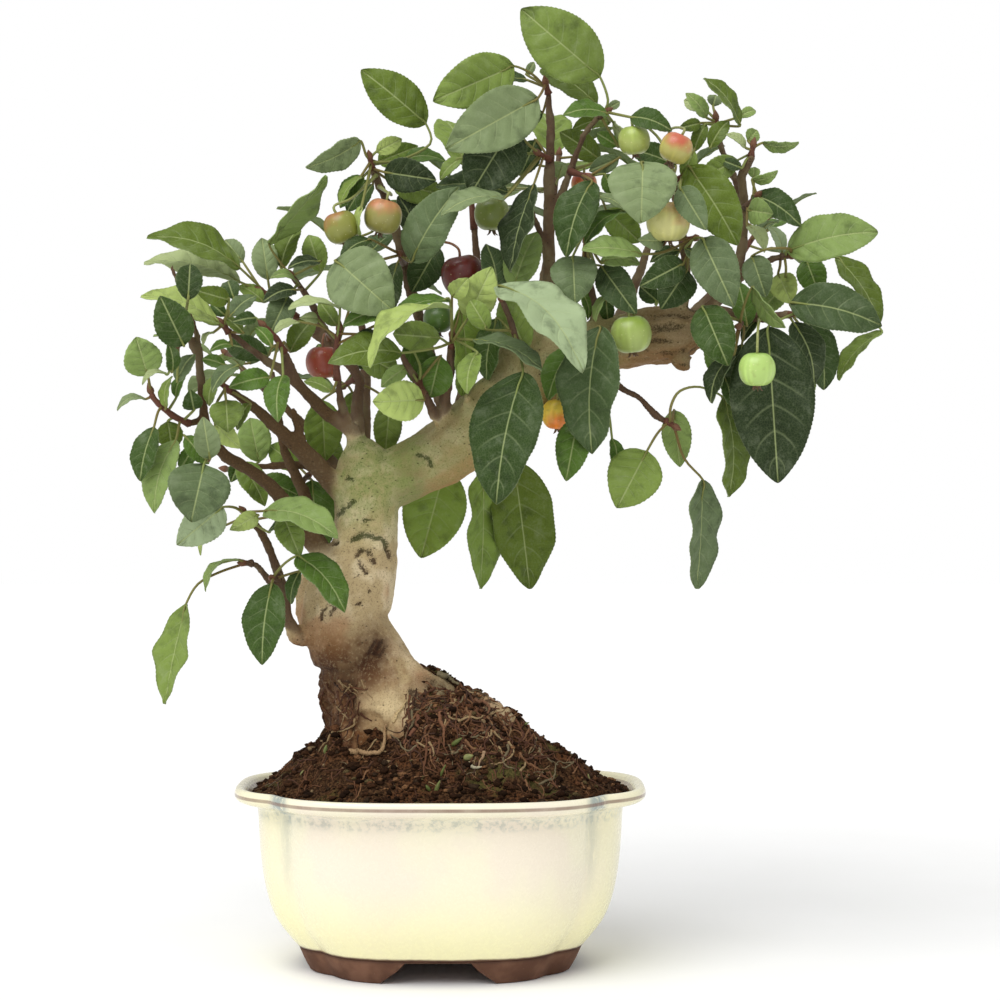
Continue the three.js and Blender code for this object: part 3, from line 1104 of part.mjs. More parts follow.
// Where a twig's petioles leave it: each as near its leaf as it can be, one behind the other.
const PITCH = 1.4;

function petioleStarts(route, targets, lead) {
  const total = route.slice(1).reduce((sum, point, i) => sum + point.distanceTo(route[i]), 0);
  const pitch = Math.min(PITCH, total / targets.length);
  const spots = targets.map((target, index) => {
    return { index, along: index === lead ? total : alongTo(route, target) };
  });
  spots.sort((a, b) => a.along - b.along);
  spots.forEach((spot, k) => {
    spot.along = Math.max(spot.along, k * pitch);
  });
  let limit = total;
  for (const spot of [...spots].reverse()) {
    spot.along = Math.min(spot.along, limit);
    limit = spot.along - pitch;
  }
  spots.sort((a, b) => a.index - b.index);
  return spots.map(({ along }) => pointAlong(route, along));
}

// A shoot, ending in a plump bud.
const BUD_LENGTH = 4.4;

function makeTwig(centre) {
  const end = centre[centre.length - 1];
  const last = end.clone().sub(centre[centre.length - 2]).normalize();
  const radii = centre.map((_, i) => TWIG_RADIUS * (1 - (0.2 * i) / centre.length));
  const tips = [0.45, 1].map((share) => end.clone().addScaledVector(last, BUD_LENGTH * share));
  return bar([...centre, ...tips], [...radii, TWIG_RADIUS * 1.25, TWIG_RADIUS * 0.35], 3);
}

// ---- Soil: a mound that rises from under the rim to the roots ----
const SOIL_EDGE = 69.4;
const SOIL_RINGS = [1, 0.8, 0.6, 0.4, 0.18];
const MOUND_MIDDLE = place([430, 0, 0]).x; // its summit lies a little right of the trunk
const MOUND_HEIGHT = 41.5;
const MOUND_LEFT = 52; // how far it reaches before it has sunk to about a third
const MOUND_RIGHT = 50;
const MOUND_DEEP = 35;
const MOUND_SLOPE = 1.6; // the power of its slope: the more, the steeper its sides

function moundHeight(x, y) {
  const across = (x - MOUND_MIDDLE) / (x < MOUND_MIDDLE ? MOUND_LEFT : MOUND_RIGHT);
  const mound = Math.exp(-(Math.hypot(across, y / MOUND_DEEP) ** MOUND_SLOPE));
  const clods = 0.7 * Math.sin(x * 0.31 + y * 0.17) + 0.6 * Math.sin(x * 0.13 - y * 0.29 + 2);
  return MOUND_HEIGHT * mound + clods;
}

function makeSoil(roots) {
  const wall = (halfWidth, height) => lobedRing(halfWidth - FIT, height);
  const bottom = [wall(54, POT_FLOOR + FIT)];
  const sides = [wall(64.5, 33), wall(67.4, 60), wall(75.9, SOIL_EDGE)];
  const edge = sides[2];
  const rings = SOIL_RINGS.slice(1).map((share) => {
    return edge.map((rim) => {
      const x = MOUND_MIDDLE * (1 - share) + rim.x * share;
      const y = rim.y * share;
      return new THREE.Vector3(x, y, SOIL_EDGE + moundHeight(x, y) * Math.min(1, (1 - share) * 4));
    });
  });
  let body = loft([...bottom, ...sides, ...rings]);
  body = body.subtract(roots);
  const top = POT_FLOOR + SCREEN_THICKNESS + 2 * FIT + 0.2;
  for (const side of [-1, 1]) {
    const hole = rodThrough(SCREEN_RADIUS + FIT, POT_FLOOR - 2, top, side * DRAIN_OFFSET, 0);
    body = body.subtract(hole);
  }
  return body;
}

// ---- Materials ----
function material(colour, roughness, metalness = 0) {
  return new THREE.MeshStandardMaterial({ color: colour, roughness, metalness });
}

const GLAZE = material(0xf1ead2, 0.25);
const PLASTIC = material(0x2f3133, 0.6);
const EARTH = material(0x3a2a1e, 0.95);
const BARK = material(0x9a8a6a, 0.85);
const FOLIAGE = material(0x4f6b35, 0.6);
const FRUIT_COLOURS = {
  blushed_left: 0xa8ab4a,
  peach: 0xc0834e,
  maroon: 0x6a2a26,
  dull_red: 0x9a4038,
  green_limb: 0x9db254,
  pale_hanging: 0xb9cd78,
  blushed_right: 0xc79a6a,
  yellow_green: 0xa3ae5a,
  golden: 0xc9b96a,
  orange: 0xd9a23c,
  small_orange: 0xb9793c,
  olive: 0x7c8a3e,
  dark_green: 0x54702e,
};

const tree = new THREE.Group();

function add(name, body, look) {
  const mesh = new THREE.Mesh(geometryOf(body), look);
  mesh.name = name;
  tree.add(mesh);
}

// ---- Assembly ----
const apples = Object.entries(APPLES).map(([name, apple]) => {
  return { name: `apple_${name}`, body: makeApple(apple), look: material(FRUIT_COLOURS[name], 0.35) };
});

const sprays = Object.entries(SPRAYS).map(([name, spray]) => {
  const route = spray.twig.map(place);
  return { name: `spray_${name}`, route, blades: spray.leaves.map(sheetBlade) };
});
for (const [name, spray] of Object.entries(BACK_SPRAYS)) {
  const branch = woodRoute(BRANCHES[spray.along]).points;
  const [before, end] = branch.slice(-2);
  const ahead = end.clone().sub(before).normalize();
  const tip = end.clone().addScaledVector(ahead, BACK_TWIG);
  const route = [end.clone().addScaledVector(ahead, 2), tip];
  const blades = Array.from({ length: spray.leaves }, (_, i) => backBlade(route, i, spray));
  sprays.push({ name, route, blades });
}
for (const spray of sprays) {
  const seat = seatFor(spray.route[0], spray.route[1], TWIG_RADIUS);
  spray.centre = routeFrom(seat, spray.route.slice(1));
  spray.body = makeTwig(spray.centre);
}

keep("trunk", trunk);
for (const { name, body } of apples) keep(name, body);
for (const { name, body } of sprays) keep(name, body);
// The largest leaves are set first, so that the smaller ones give way to them.
const leaves = sprays.flatMap((spray) => {
  spray.parts = [];
  const blades = spray.blades.filter(({ base, tip }) => base.distanceTo(tip) > LEAST_BLADE);
  const targets = blades.map((blade) => blade.route[0] ?? blade.base);
  const route = spray.centre.slice(1);
  const lead = leadOf(route, blades, targets);
  const starts = petioleStarts(route, targets, lead);
  return blades.map((blade, i) => ({ spray, blade, start: starts[i], leads: i === lead }));
});
const lengthOf = ({ blade }) => blade.base.distanceTo(blade.tip);
leaves.sort((a, b) => lengthOf(b) - lengthOf(a));
for (const { spray, blade, start, leads } of leaves) {
  const set = settle(spray.name, blade, start, spray.parts);
  if (!set) continue;
  keep(spray.name, set.leaf);
  if (leads) spray.body = leafSolid(set.moved, spray.centre);
  else spray.parts.push(set.leaf);
}

add("pot", makePot(), GLAZE);
add("drain_screen_left", makeScreen(-1), PLASTIC);
add("drain_screen_right", makeScreen(1), PLASTIC);
add("soil", makeSoil(trunkAndRoots(FIT + 0.1)), EARTH);
add("trunk", trunk, BARK);
for (const { name, body, look } of apples) add(name, body, look);
for (const { name, body, parts } of sprays) add(name, union([body, ...parts]), FOLIAGE);

// The origin is on the ground, under the middle of the whole tree's box.
const bounds = new THREE.Box3().setFromObject(tree);
const middle = bounds.getCenter(new THREE.Vector3());
tree.position.set(-middle.x, -middle.y, -bounds.min.z);

const bonsai = new THREE.Group();
bonsai.add(tree);

export default bonsai;
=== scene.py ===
"""A crabapple bonsai in its glazed pot. Shapes are worked out in millimetres, with +Z up and -Y to
the front, and turned to metres where a piece is made."""

import math
import random

import bpy
import numpy as np
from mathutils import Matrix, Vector, kdtree, noise
from mathutils.bvhtree import BVHTree


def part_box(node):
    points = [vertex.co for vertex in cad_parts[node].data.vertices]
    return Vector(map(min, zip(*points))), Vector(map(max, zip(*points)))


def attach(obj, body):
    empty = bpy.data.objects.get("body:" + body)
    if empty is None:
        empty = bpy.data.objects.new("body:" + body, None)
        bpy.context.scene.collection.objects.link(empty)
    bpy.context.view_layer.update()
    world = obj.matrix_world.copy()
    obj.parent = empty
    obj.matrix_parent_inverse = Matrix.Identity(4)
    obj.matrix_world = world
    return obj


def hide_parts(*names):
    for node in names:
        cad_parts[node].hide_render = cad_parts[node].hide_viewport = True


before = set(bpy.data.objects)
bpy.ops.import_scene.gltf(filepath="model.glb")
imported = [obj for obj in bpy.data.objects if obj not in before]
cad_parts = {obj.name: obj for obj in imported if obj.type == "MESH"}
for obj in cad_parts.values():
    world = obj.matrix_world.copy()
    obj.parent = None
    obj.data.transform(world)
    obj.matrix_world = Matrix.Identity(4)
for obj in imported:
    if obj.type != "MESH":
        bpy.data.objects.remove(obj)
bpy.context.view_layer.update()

# ---- Pot ----
# The pot is stoneware, pressed in a four-lobed mould with a crease where each two lobes meet. It is
# dipped in cream glaze down to its foot, which stays bare brown clay and stands on four short feet.
MM = 0.001


def unit(v):
    return v / np.linalg.norm(v)


class Signal:
    """A value that changes over a finish's surface, with ordinary arithmetic."""

    def __init__(self, finish, socket):
        self.finish = finish
        self.socket = socket

    def math(self, operation, *values):
        return self.finish.node("Math", {"operation": operation}, dict(enumerate(values)))

    def __add__(self, other):
        return self.math("ADD", self, other)

    def __sub__(self, other):
        return self.math("SUBTRACT", self, other)

    def __rsub__(self, other):
        return self.math("SUBTRACT", other, self)

    def __mul__(self, other):
        return self.math("MULTIPLY", self, other)

    __radd__ = __add__
    __rmul__ = __mul__

    def __pow__(self, other):
        return self.math("POWER", self, other)

    def __abs__(self):
        return self.math("ABSOLUTE", self)

    def part(self):
        """What is left over whole numbers."""
        return self.math("FRACT", self)

    def step(self, low, high):
        """0 below low and 1 above high, with a soft step between them; low may be the higher."""
        settings = {"interpolation_type": "SMOOTHSTEP"}
        if low < high:
            return self.finish.node("MapRange", settings, {0: self, 1: low, 2: high})
        return 1 - self.finish.node("MapRange", settings, {0: self, 1: high, 2: low})


class Finish:
    """One material on the principled shader: constants go straight on the shader's sockets."""

    def __init__(self, name, constants):
        self.material = bpy.data.materials.new(name)
        self.material.use_nodes = True
        self.tree = self.material.node_tree
        self.shader = self.tree.nodes["Principled BSDF"]
        for socket, value in constants.items():
            self.shader.inputs[socket].default_value = value

    def node(self, kind, settings, sockets, output=0):
        made = self.tree.nodes.new("ShaderNode" + kind)
        for key, value in settings.items():
            setattr(made, key, value)
        for key, value in sockets.items():
            if isinstance(value, Signal):
                self.tree.links.new(value.socket, made.inputs[key])
            else:
                made.inputs[key].default_value = value
        return Signal(self, made.outputs[output])

    def place(self):
        return self.node("TexCoord", {}, {}, "Object")

    def axis(self, vector, letter):
        return self.node("SeparateXYZ", {}, {0: vector}, "XYZ".index(letter))

    def read(self, attribute, output="Color"):
        """What the piece's points note under that name."""
        return self.node("Attribute", {"attribute_name": attribute}, {}, output)

    def grain(self, size, detail=3.0, roughness=0.55, where=None):
        """Cloudy noise from 0 to 1 whose patches are about size millimetres across."""
        return self.node("TexNoise", {}, {"Vector": where or self.place(), "Scale": 1 / (size * MM),
                                          "Detail": detail, "Roughness": roughness})

    def mix(self, under, over, share):
        """One colour over another, each a signal or a paint-chart colour."""
        under, over = (c if isinstance(c, Signal) else colour(*c) for c in (under, over))
        settings = {"data_type": "RGBA", "clamp_factor": True}
        return self.node("Mix", settings, {0: share, 6: under, 7: over}, 2)

    def coats(self, ground, *coats):
        """The ground colour with each coat over it in turn: a colour and its share."""
        for shade, share in coats:
            ground = self.mix(ground, shade, share)
        return ground

    def bump(self, height, depth):
        """Relief depth millimetres deep."""
        return self.node("Bump", {}, {"Height": height, "Distance": depth * MM, "Strength": 1.0})

    def wear(self, **channels):
        """Puts signals on the shader: the colour, roughness and relief that are given."""
        names = {"colour": "Base Color", "roughness": "Roughness", "relief": "Normal"}
        for channel, value in channels.items():
            self.tree.links.new(value.socket, self.shader.inputs[names[channel]])


def colour(red, green, blue):
    """A paint-chart colour, each part from 0 to 255, as the shader's linear values."""
    parts = [c / 255 for c in (red, green, blue)]
    return (*[p / 12.92 if p < 0.0404 else ((p + 0.055) / 1.055) ** 2.4 for p in parts], 1.0)


class Shape:
    """Points and faces of one piece, in millimetres, with what its finish reads at each point."""

    def __init__(self):
        self.points = []
        self.faces = []
        self.notes = {}
        self.count = 0

    def add(self, points, faces, **notes):
        points = np.asarray(points, float).reshape(-1, 3)
        self.points.append(points)
        self.faces += [tuple(corner + self.count for corner in face) for face in faces]
        self.count += len(points)
        for name, value in notes.items():
            value = np.asarray(value, float)
            value = np.broadcast_to(value, (len(points), value.shape[-1]))
            self.notes.setdefault(name, []).append(value)
        return self

    def piece(self, name, finish, slot, *nodes):
        """The shape as a piece of that name, which stands for the nodes."""
        mesh = bpy.data.meshes.new(name)
        mesh.from_pydata(np.concatenate(self.points) * MM, [], self.faces)
        return dress(mesh, name, finish, nodes, self.notes)


def show(name, data):
    """A new object of the scene, made from the data."""
    made = bpy.data.objects.new(name, data)
    bpy.context.scene.collection.objects.link(made)
    return made


def dress(mesh, name, finish, nodes, notes):
    """The mesh as a piece: its notes kept on its points, its finish, and what it stands for."""
    for note, values in notes.items():
        values = np.concatenate(values).astype(np.float32)
        kind, field = {3: ("FLOAT_VECTOR", "vector"), 4: ("FLOAT_COLOR", "color")}[values.shape[1]]
        mesh.attributes.new(note, kind, "POINT").data.foreach_set(field, values.ravel())
    mesh.polygons.foreach_set("use_smooth", np.ones(len(mesh.polygons), bool))
    mesh.materials.clear()
    mesh.materials.append(finish.material)
    made = show(name, mesh)
    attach(made, "root")
    if nodes:
        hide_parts(*nodes)
    return made


def curve_through(points, steps):
    """A smooth route through the points, with steps spans between each two of them."""
    points = np.asarray(points, float)
    padded = np.vstack([2 * points[0] - points[1], points, 2 * points[-1] - points[-2]])
    route = []
    for a, b, c, d in zip(padded, padded[1:], padded[2:], padded[3:]):
        for t in np.arange(steps) / steps:
            bend = (2 * a - 5 * b + 4 * c - d) * t * t + (3 * b - a - 3 * c + d) * t ** 3
            route.append(b + (c - a) * t / 2 + bend / 2)
    return np.array([*route, points[-1]])


def loft(rings):
    """The points and faces of one closed body through rings of equal count."""
    count, sides = len(rings), len(rings[0])
    faces = [tuple(range(sides - 1, -1, -1))]
    for i in range(count - 1):
        for k in range(sides):
            a, b = i * sides + k, i * sides + (k + 1) % sides
            faces.append((a, b, b + sides, a + sides))
    return np.concatenate(rings), [*faces, tuple((count - 1) * sides + k for k in range(sides))]


POT_LOW, POT_HIGH = (np.array(corner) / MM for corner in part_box("pot"))
POT_FOOT = np.array([*(POT_LOW + POT_HIGH)[:2] / 2, 0])  # on the ground, under the pot's middle
POT_DEPTH_RATIO = 0.8
POT_SIDES = 180
WIDE_LOBE_DEPTH = 0.76
DEEP_LOBE_WIDTH = 0.86
LOBE_SQUARENESS = 3.1
FOOT_HEIGHT = 9.6
FOOT_RECESS = 8
FOOT_INSIDE = 45.5
DRAIN_RADIUS = 7
DRAIN_OFFSET = 34
DRAIN_SIDES = 32
POT_FLOOR = 14
ARCH_ROOF = 0.8  # what an arch leaves of the foot above it
# Half-width and height, up the outside and over the lip, and then down the inside.
POT_OUTSIDE = [(56.8, 9.6), (60.5, 14), (64.6, 19.5), (67.5, 26), (69.8, 35), (71.2, 45), (71.9, 55),
               (72.2, 61), (72.9, 64.6), (75.6, 65.9), (79.3, 66.7), (81.2, 68.2), (81.4, 70.2),
               (80.7, 71.8), (79.4, 72.2), (77.6, 71.5), (76.6, 70)]
POT_INSIDE = [(74.6, 68), (70, 62.5), (67.4, 58), (66, 48), (64.5, 33), (59.6, 21), (54, 14)]
FOOT_OUTSIDE = [(51.4, 0), (52.6, 0.7), (54.6, 5), (56.3, 9), (56.2, 9.6)]


def lobed_radius(angle, half_width):
    """How far out the four-lobed outline lies at an angle: the wider of two crossed lobes."""
    half_depth = half_width * POT_DEPTH_RATIO
    cosine, sine = abs(np.cos(angle)), abs(np.sin(angle))

    def lobe(a, b):
        return ((cosine / a) ** LOBE_SQUARENESS + (sine / b) ** LOBE_SQUARENESS) ** (-1 / LOBE_SQUARENESS)

    wide = lobe(half_width, half_depth * WIDE_LOBE_DEPTH)
    return np.maximum(wide, lobe(half_width * DEEP_LOBE_WIDTH, half_depth))


def lobed_ring(half_width, height, sides=POT_SIDES):
    angle = 2 * np.pi * (np.arange(sides) + 0.5) / sides
    radius = lobed_radius(angle, half_width)
    ring = [radius * np.cos(angle), radius * np.sin(angle), np.full(sides, height)]
    return POT_FOOT + np.stack(ring, 1)


def cutter(points, faces):
    """A body to cut with, in millimetres."""
    mesh = bpy.data.meshes.new("cutter")
    mesh.from_pydata(points * MM, [], faces)
    return show("cutter", mesh)


def worked(piece):
    """The piece's mesh as its modifiers leave it."""
    bpy.context.view_layer.update()
    return bpy.data.meshes.new_from_object(piece.evaluated_get(bpy.context.evaluated_depsgraph_get()))


def cut(piece, tools):
    """Takes the tools' shapes out of the piece for good."""
    for tool in tools:
        modifier = piece.modifiers.new("cut", "BOOLEAN")
        modifier.operation, modifier.solver, modifier.object = "DIFFERENCE", "EXACT", tool
    mesh = worked(piece)
    piece.modifiers.clear()
    piece.data = mesh
    mesh.polygons.foreach_set("use_smooth", np.ones(len(mesh.polygons), bool))
    for tool in tools:
        bpy.data.objects.remove(tool)


def drain(side):
    """A drain hole's cutter, left or right of the pot's middle."""
    angle = 2 * np.pi * np.arange(DRAIN_SIDES) / DRAIN_SIDES
    ring = POT_FOOT + np.stack([side * DRAIN_OFFSET + DRAIN_RADIUS * np.cos(angle),
                                DRAIN_RADIUS * np.sin(angle), np.zeros(DRAIN_SIDES)], 1)
    return cutter(*loft([ring + (0, 0, 1), ring + (0, 0, POT_FLOOR + 6)]))


def foot_arch(half_top, half_bottom, across):
    """A cut right through under the pot: flat at its top, flaring out to the ground."""
    top = FOOT_HEIGHT - ARCH_ROOF
    flare = [(half_bottom, -1), (half_bottom - 2, 1), (half_top + 3.2, top * 0.6),
             (half_top + 1, top * 0.86), (half_top, top)]
    outline = [*flare, *[(-x, z) for x, z in reversed(flare)]]
    ends = [[(x, y, z) if across else (-y, x, z) for x, z in outline] for y in (100, -100)]
    points, faces = loft(ends)
    return cutter(points + POT_FOOT, faces)


# Where the glaze changes, in metres: the creases from the pot's middle, and heights off the ground.
CREASE_AT, UNDER_RIM, LIP_LINE, GLAZE_EDGE = 0.0605, 0.0635, 0.0695, 0.0104
glaze = Finish("cream_glaze", {"Coat Weight": 0.35, "Coat Roughness": 0.08, "Specular IOR Level": 0.45})
spot = glaze.place()
height = glaze.axis(spot, "Z")
across = abs(glaze.axis(spot, "X") - POT_FOOT[0] * MM)
deep = abs(glaze.axis(spot, "Y") - POT_FOOT[1] * MM)
mottle = glaze.grain(2.2, 4, 0.7)
low = height.step(0.044, 0.012) * 0.75 + across.step(0.05, 0.068) * 0.35
crease = abs(across - CREASE_AT).step(0.0052, 0.001) * deep.step(0.03, 0.04)
under_rim = abs(height - UNDER_RIM).step(0.0045, 0.001) * mottle.step(0.45, 0.62)
streak = glaze.node("Mapping", {}, {"Vector": spot, "Scale": (1, 1, 0.16)})
# Bluish grey in the creases and under the rim: glaze pooled there, deepened as painted shade.
pooled_glaze_and_shade = crease * glaze.grain(1.6, 4, 0.7, streak).step(0.32, 0.5) + under_rim * 0.5
lip = abs(height - LIP_LINE).step(0.0009, 0.0004) * (0.6 + 0.5 * glaze.grain(9, 2))
edge = (height - 0.0009 * glaze.grain(7, 3)).step(GLAZE_EDGE, GLAZE_EDGE - 0.001)
cream = glaze.coats(
    (246, 239, 212),
    ((244, 233, 213), glaze.grain(34, 2).step(0.4, 0.62)),
    ((247, 243, 186), low * (0.7 + 0.5 * mottle)),
    ((162, 172, 164), pooled_glaze_and_shade),
    ((214, 206, 186), mottle.step(0.66, 0.8) * 0.5),
    ((120, 84, 66), lip * 0.85),
    ((96, 62, 44), edge))
glaze.wear(colour=cream, roughness=0.2 + 0.14 * mottle + 0.35 * edge,
           relief=glaze.bump(glaze.grain(5, 3) * 0.7 + mottle * 0.3, 0.16))

clay = Finish("bare_clay", {"Specular IOR Level": 0.25})
grit = clay.grain(0.9, 5, 0.75)
brown = clay.coats(
    (118, 84, 66),
    ((92, 62, 47), clay.grain(13, 3).step(0.35, 0.65)),
    ((150, 120, 96), grit.step(0.62, 0.74) * 0.5),
    ((62, 42, 34), clay.axis(clay.place(), "Z").step(0.0078, 0.0094) * 0.6))
clay.wear(colour=brown, roughness=0.72 + 0.2 * grit, relief=clay.bump(grit, 0.12))

wall = [*curve_through([(w, z, 0) for w, z in POT_OUTSIDE], 3)[:, :2],
        *curve_through([(w, z, 0) for w, z in POT_INSIDE], 3)[:, :2]]
pot_body = Shape().add(*loft([lobed_ring(w, z) for w, z in wall]))
pot_body = pot_body.piece("glazed_pot", glaze, "glaze", "pot")
cut(pot_body, [drain(-1), drain(1)])
foot = Shape().add(*loft([lobed_ring(w, z) for w, z in FOOT_OUTSIDE]))
foot = foot.piece("clay_foot", clay, "clay", "pot")
recess = [lobed_ring(w, z, 90) for w, z in ((FOOT_INSIDE, -1), (FOOT_INSIDE - 0.5, FOOT_RECESS))]
arches = [foot_arch(12.6, 23.4, True), foot_arch(9, 17, False)]
cut(foot, [cutter(*loft(recess)), *arches, drain(-1), drain(1)])

# ---- Drain screens ----
# Two moulded plastic discs lie over the drain holes and keep the soil in.
plastic = Finish("screen_plastic", {"Specular IOR Level": 0.4})
scuff = plastic.grain(1.4, 4, 0.7)
plastic.wear(colour=plastic.mix((44, 46, 48), (70, 70, 68), scuff.step(0.45, 0.75)),
             roughness=0.45 + 0.3 * scuff, relief=plastic.bump(scuff, 0.05))
for side in ("left", "right"):
    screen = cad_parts["drain_screen_" + side]
    screen.data.materials.clear()
    screen.data.materials.append(plastic.material)

# ---- Soil ----
# Dark potting soil fills the pot and is heaped up against the roots. It is loose clods and fibre
# over a packed mound.
EYE = np.array([23.6, -900, 185])  # from the middle of the pot's foot
SQUARE = 0.4  # one square of the elevation sheet, at the pot's middle
SHEET_MIDDLE = 500


def place(spot):
    """The point that a sheet place names: squares across and down, and millimetres back."""
    across, down, depth = spot
    scale = SQUARE * (1 - depth / EYE[1])
    x, z = EYE[0] + (across - SHEET_MIDDLE) * scale, EYE[2] - (down - SHEET_MIDDLE) * scale
    return POT_FOOT + (x, depth, z)


SOIL_EDGE, SOIL_REACH = 69.4, 75.9  # the soil's height and half width at the pot's lip
FIT = 0.35
MOUND_MIDDLE = place((430, 0, 0))[0] - POT_FOOT[0]
MOUND_HEIGHT = 41.5
MOUND_SIDE, MOUND_DEEP, MOUND_SLOPE = 51, 35, 1.6
BANK_HEIGHT, BANK_REACH = 8, 9
TRUNK_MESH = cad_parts["trunk"].data
wood_tree = BVHTree.FromPolygons([v.co / MM for v in TRUNK_MESH.vertices],
                                 [tuple(p.vertices) for p in TRUNK_MESH.polygons])


def lumps(point, size, octaves=3):
    """Uneven lumps about size millimetres across, from -1 to 1."""
    return noise.fractal(Vector(point) / size, 1.0, 2.0, octaves, noise_basis="PERLIN_ORIGINAL")


def above(value, low, high):
    """0 up to low and 1 from high on, with a soft rise between them; low may be the higher."""
    t = np.clip((value - low) / (high - low), 0, 1)
    return t * t * (3 - 2 * t)


def near(value, middle, reach):
    """1 at the middle, falling smoothly to 0 at reach from it."""
    return above(np.abs(value - middle), reach, 0)


def gap_to_wood(spot):
    """Millimetres from a point to the wood, below 0 inside it."""
    found, facing, _, gap = wood_tree.find_nearest(Vector(spot))
    return gap if (Vector(spot) - found).dot(facing) > 0 else -gap


def soil_top(x, y, share):
    """How high the soil lies at x, y from the pot's middle; share is 1 at the wall."""
    away = math.hypot((x - MOUND_MIDDLE) / MOUND_SIDE, y / MOUND_DEEP)
    mound = math.exp(-away ** MOUND_SLOPE) * MOUND_HEIGHT
    mound += 0.7 * math.sin(x * 0.31 + y * 0.17) + 0.6 * math.sin(x * 0.13 - y * 0.29 + 2)
    rough = 1.5 * lumps((x, y, 0), 5.5) + 0.9 * lumps((x, y, 9), 1.9)
    top = SOIL_EDGE + (mound + rough) * min(1, (1 - share) * 4) - 0.6
    gap = gap_to_wood(POT_FOOT + (x, y, top))
    banked = above(gap, BANK_REACH, -2) * above(gap, -11, -6) * min(1, (1 - share) * 5)
    banked *= 1 - near(math.hypot((x + 25) / 17, (y + 30) / 20), 0, 1.3)  # the buttress stands bare
    return top + BANK_HEIGHT * banked * (1 + 0.4 * lumps((x, y, 3), 7))


def on_soil(angle, share):
    """The point of the soil's top at an angle, that share of the way from the mound to the wall."""
    edge = lobed_radius(angle, SOIL_REACH - FIT)
    x = MOUND_MIDDLE * (1 - share) + edge * math.cos(angle) * share
    y = edge * math.sin(angle) * share
    return POT_FOOT + (x, y, soil_top(x, y, share))


SOIL_SIDES, SOIL_ROUNDS = 230, 62
rings = [lobed_ring(w - FIT, z, SOIL_SIDES) for w, z in ((54, 14.35), (64.5, 33), (67.4, 60))]
angles = 2 * np.pi * (np.arange(SOIL_SIDES) + 0.5) / SOIL_SIDES
for share in np.linspace(1, 0.02, SOIL_ROUNDS):
    rings.append(np.array([on_soil(angle, share) for angle in angles]))
EARTH_DARK, EARTH_LIGHT = (40, 25, 15), (100, 72, 48)
earth = Finish("potting_soil", {"Specular IOR Level": 0.06})
crumb = earth.grain(1.1, 5, 0.75)
ground = earth.coats(
    EARTH_DARK,
    (EARTH_LIGHT, crumb.step(0.42, 0.66)),
    ((98, 62, 38), earth.grain(11, 3).step(0.46, 0.62) * crumb.step(0.42, 0.58) * 0.7),
    ((92, 96, 50), earth.grain(19, 4).step(0.54, 0.64) * crumb * 0.8))
earth.wear(colour=ground, roughness=0.8 + 0.18 * crumb, relief=earth.bump(crumb, 0.7))
mound = Shape().add(*loft(rings))
mound.piece("soil_mound", earth, "soil", "soil")

PEBBLE = [(0, 0, -1), (0.72, -0.53, -0.45), (-0.28, -0.85, -0.45), (-0.89, 0, -0.45),
          (-0.28, 0.85, -0.45), (0.72, 0.53, -0.45), (0.28, -0.85, 0.45), (-0.72, -0.53, 0.45),
          (-0.72, 0.53, 0.45), (0.28, 0.85, 0.45), (0.89, 0, 0.45), (0, 0, 1)]
PEBBLE_FACES = [(0, 1, 2), (1, 0, 5), (0, 2, 3), (0, 3, 4), (0, 4, 5), (1, 5, 10), (2, 1, 6), (3, 2, 7),
                (4, 3, 8), (5, 4, 9), (1, 10, 6), (2, 6, 7), (3, 7, 8), (4, 8, 9), (5, 9, 10), (6, 10, 11),
                (7, 6, 11), (8, 7, 11), (9, 8, 11), (10, 9, 11)]
CLOD_COUNT, LEAST_CLOD, CLOD_SPREAD = 4200, 0.4, 1.4
CLOD_TONES = [colour(*c) for c in ((50, 32, 20), (70, 46, 30), (36, 23, 14), (102, 68, 46),
                                   (132, 96, 66), (62, 48, 35), (98, 84, 56), (152, 128, 96))]
CLOD_SHARES = [30, 24, 22, 9, 6, 8, 4, 2]


def speckled(name, shine, grain, dark, steps, share, roughness, depth):
    """A finish in each point's own tone, with dark specks that also roughen it."""
    finish = Finish(name, {"Specular IOR Level": shine})
    speck = finish.grain(*grain)
    shade = finish.mix(finish.read("tone"), dark, speck.step(*steps) * share)
    finish.wear(colour=shade, roughness=roughness[0] + roughness[1] * speck,
                relief=finish.bump(speck, depth))
    return finish


clod_finish = speckled("soil_clods", 0.06, (0.8, 4, 0.7), (24, 14, 8), (0.56, 0.4), 0.65, (0.82, 0.15), 0.3)


def add_clod(shape, spot, size, draw):
    """A crumb of soil, knocked out of round, that sits at the spot."""
    stretch = np.array([draw.uniform(0.7, 1.4), draw.uniform(0.7, 1.4), draw.uniform(0.55, 0.9)]) * size
    points = np.array(PEBBLE) * stretch * (1 + 0.3 * np.array([[draw.uniform(-1, 1)] for _ in PEBBLE]))
    turn = draw.uniform(0, 2 * math.pi)
    spin = np.array([[math.cos(turn), -math.sin(turn), 0], [math.sin(turn), math.cos(turn), 0], [0, 0, 1]])
    tone = draw.choices(CLOD_TONES, CLOD_SHARES)[0]
    shape.add(spot + points @ spin.T, PEBBLE_FACES, tone=tone)


clods = Shape()
draw = random.Random(11)
for _ in range(CLOD_COUNT):
    spot = on_soil(draw.uniform(0, 2 * math.pi), math.sqrt(draw.uniform(0.0, 0.965)))
    size = LEAST_CLOD + CLOD_SPREAD * draw.random() ** 3.6
    if gap_to_wood(spot) > -1:
        add_clod(clods, spot + (0, 0, 0.25 * size), size, draw)
clods.piece("soil_clods", clod_finish, "soil")

# ---- Trunk ----
# One grown piece of wood: a root buttress, a bent trunk, a heavy limb that ends in an old break, and
# the branches. Its bark is thin and smooth, tan with green algae, and dark and cracked at the break.
BARK_GRID = 0.96


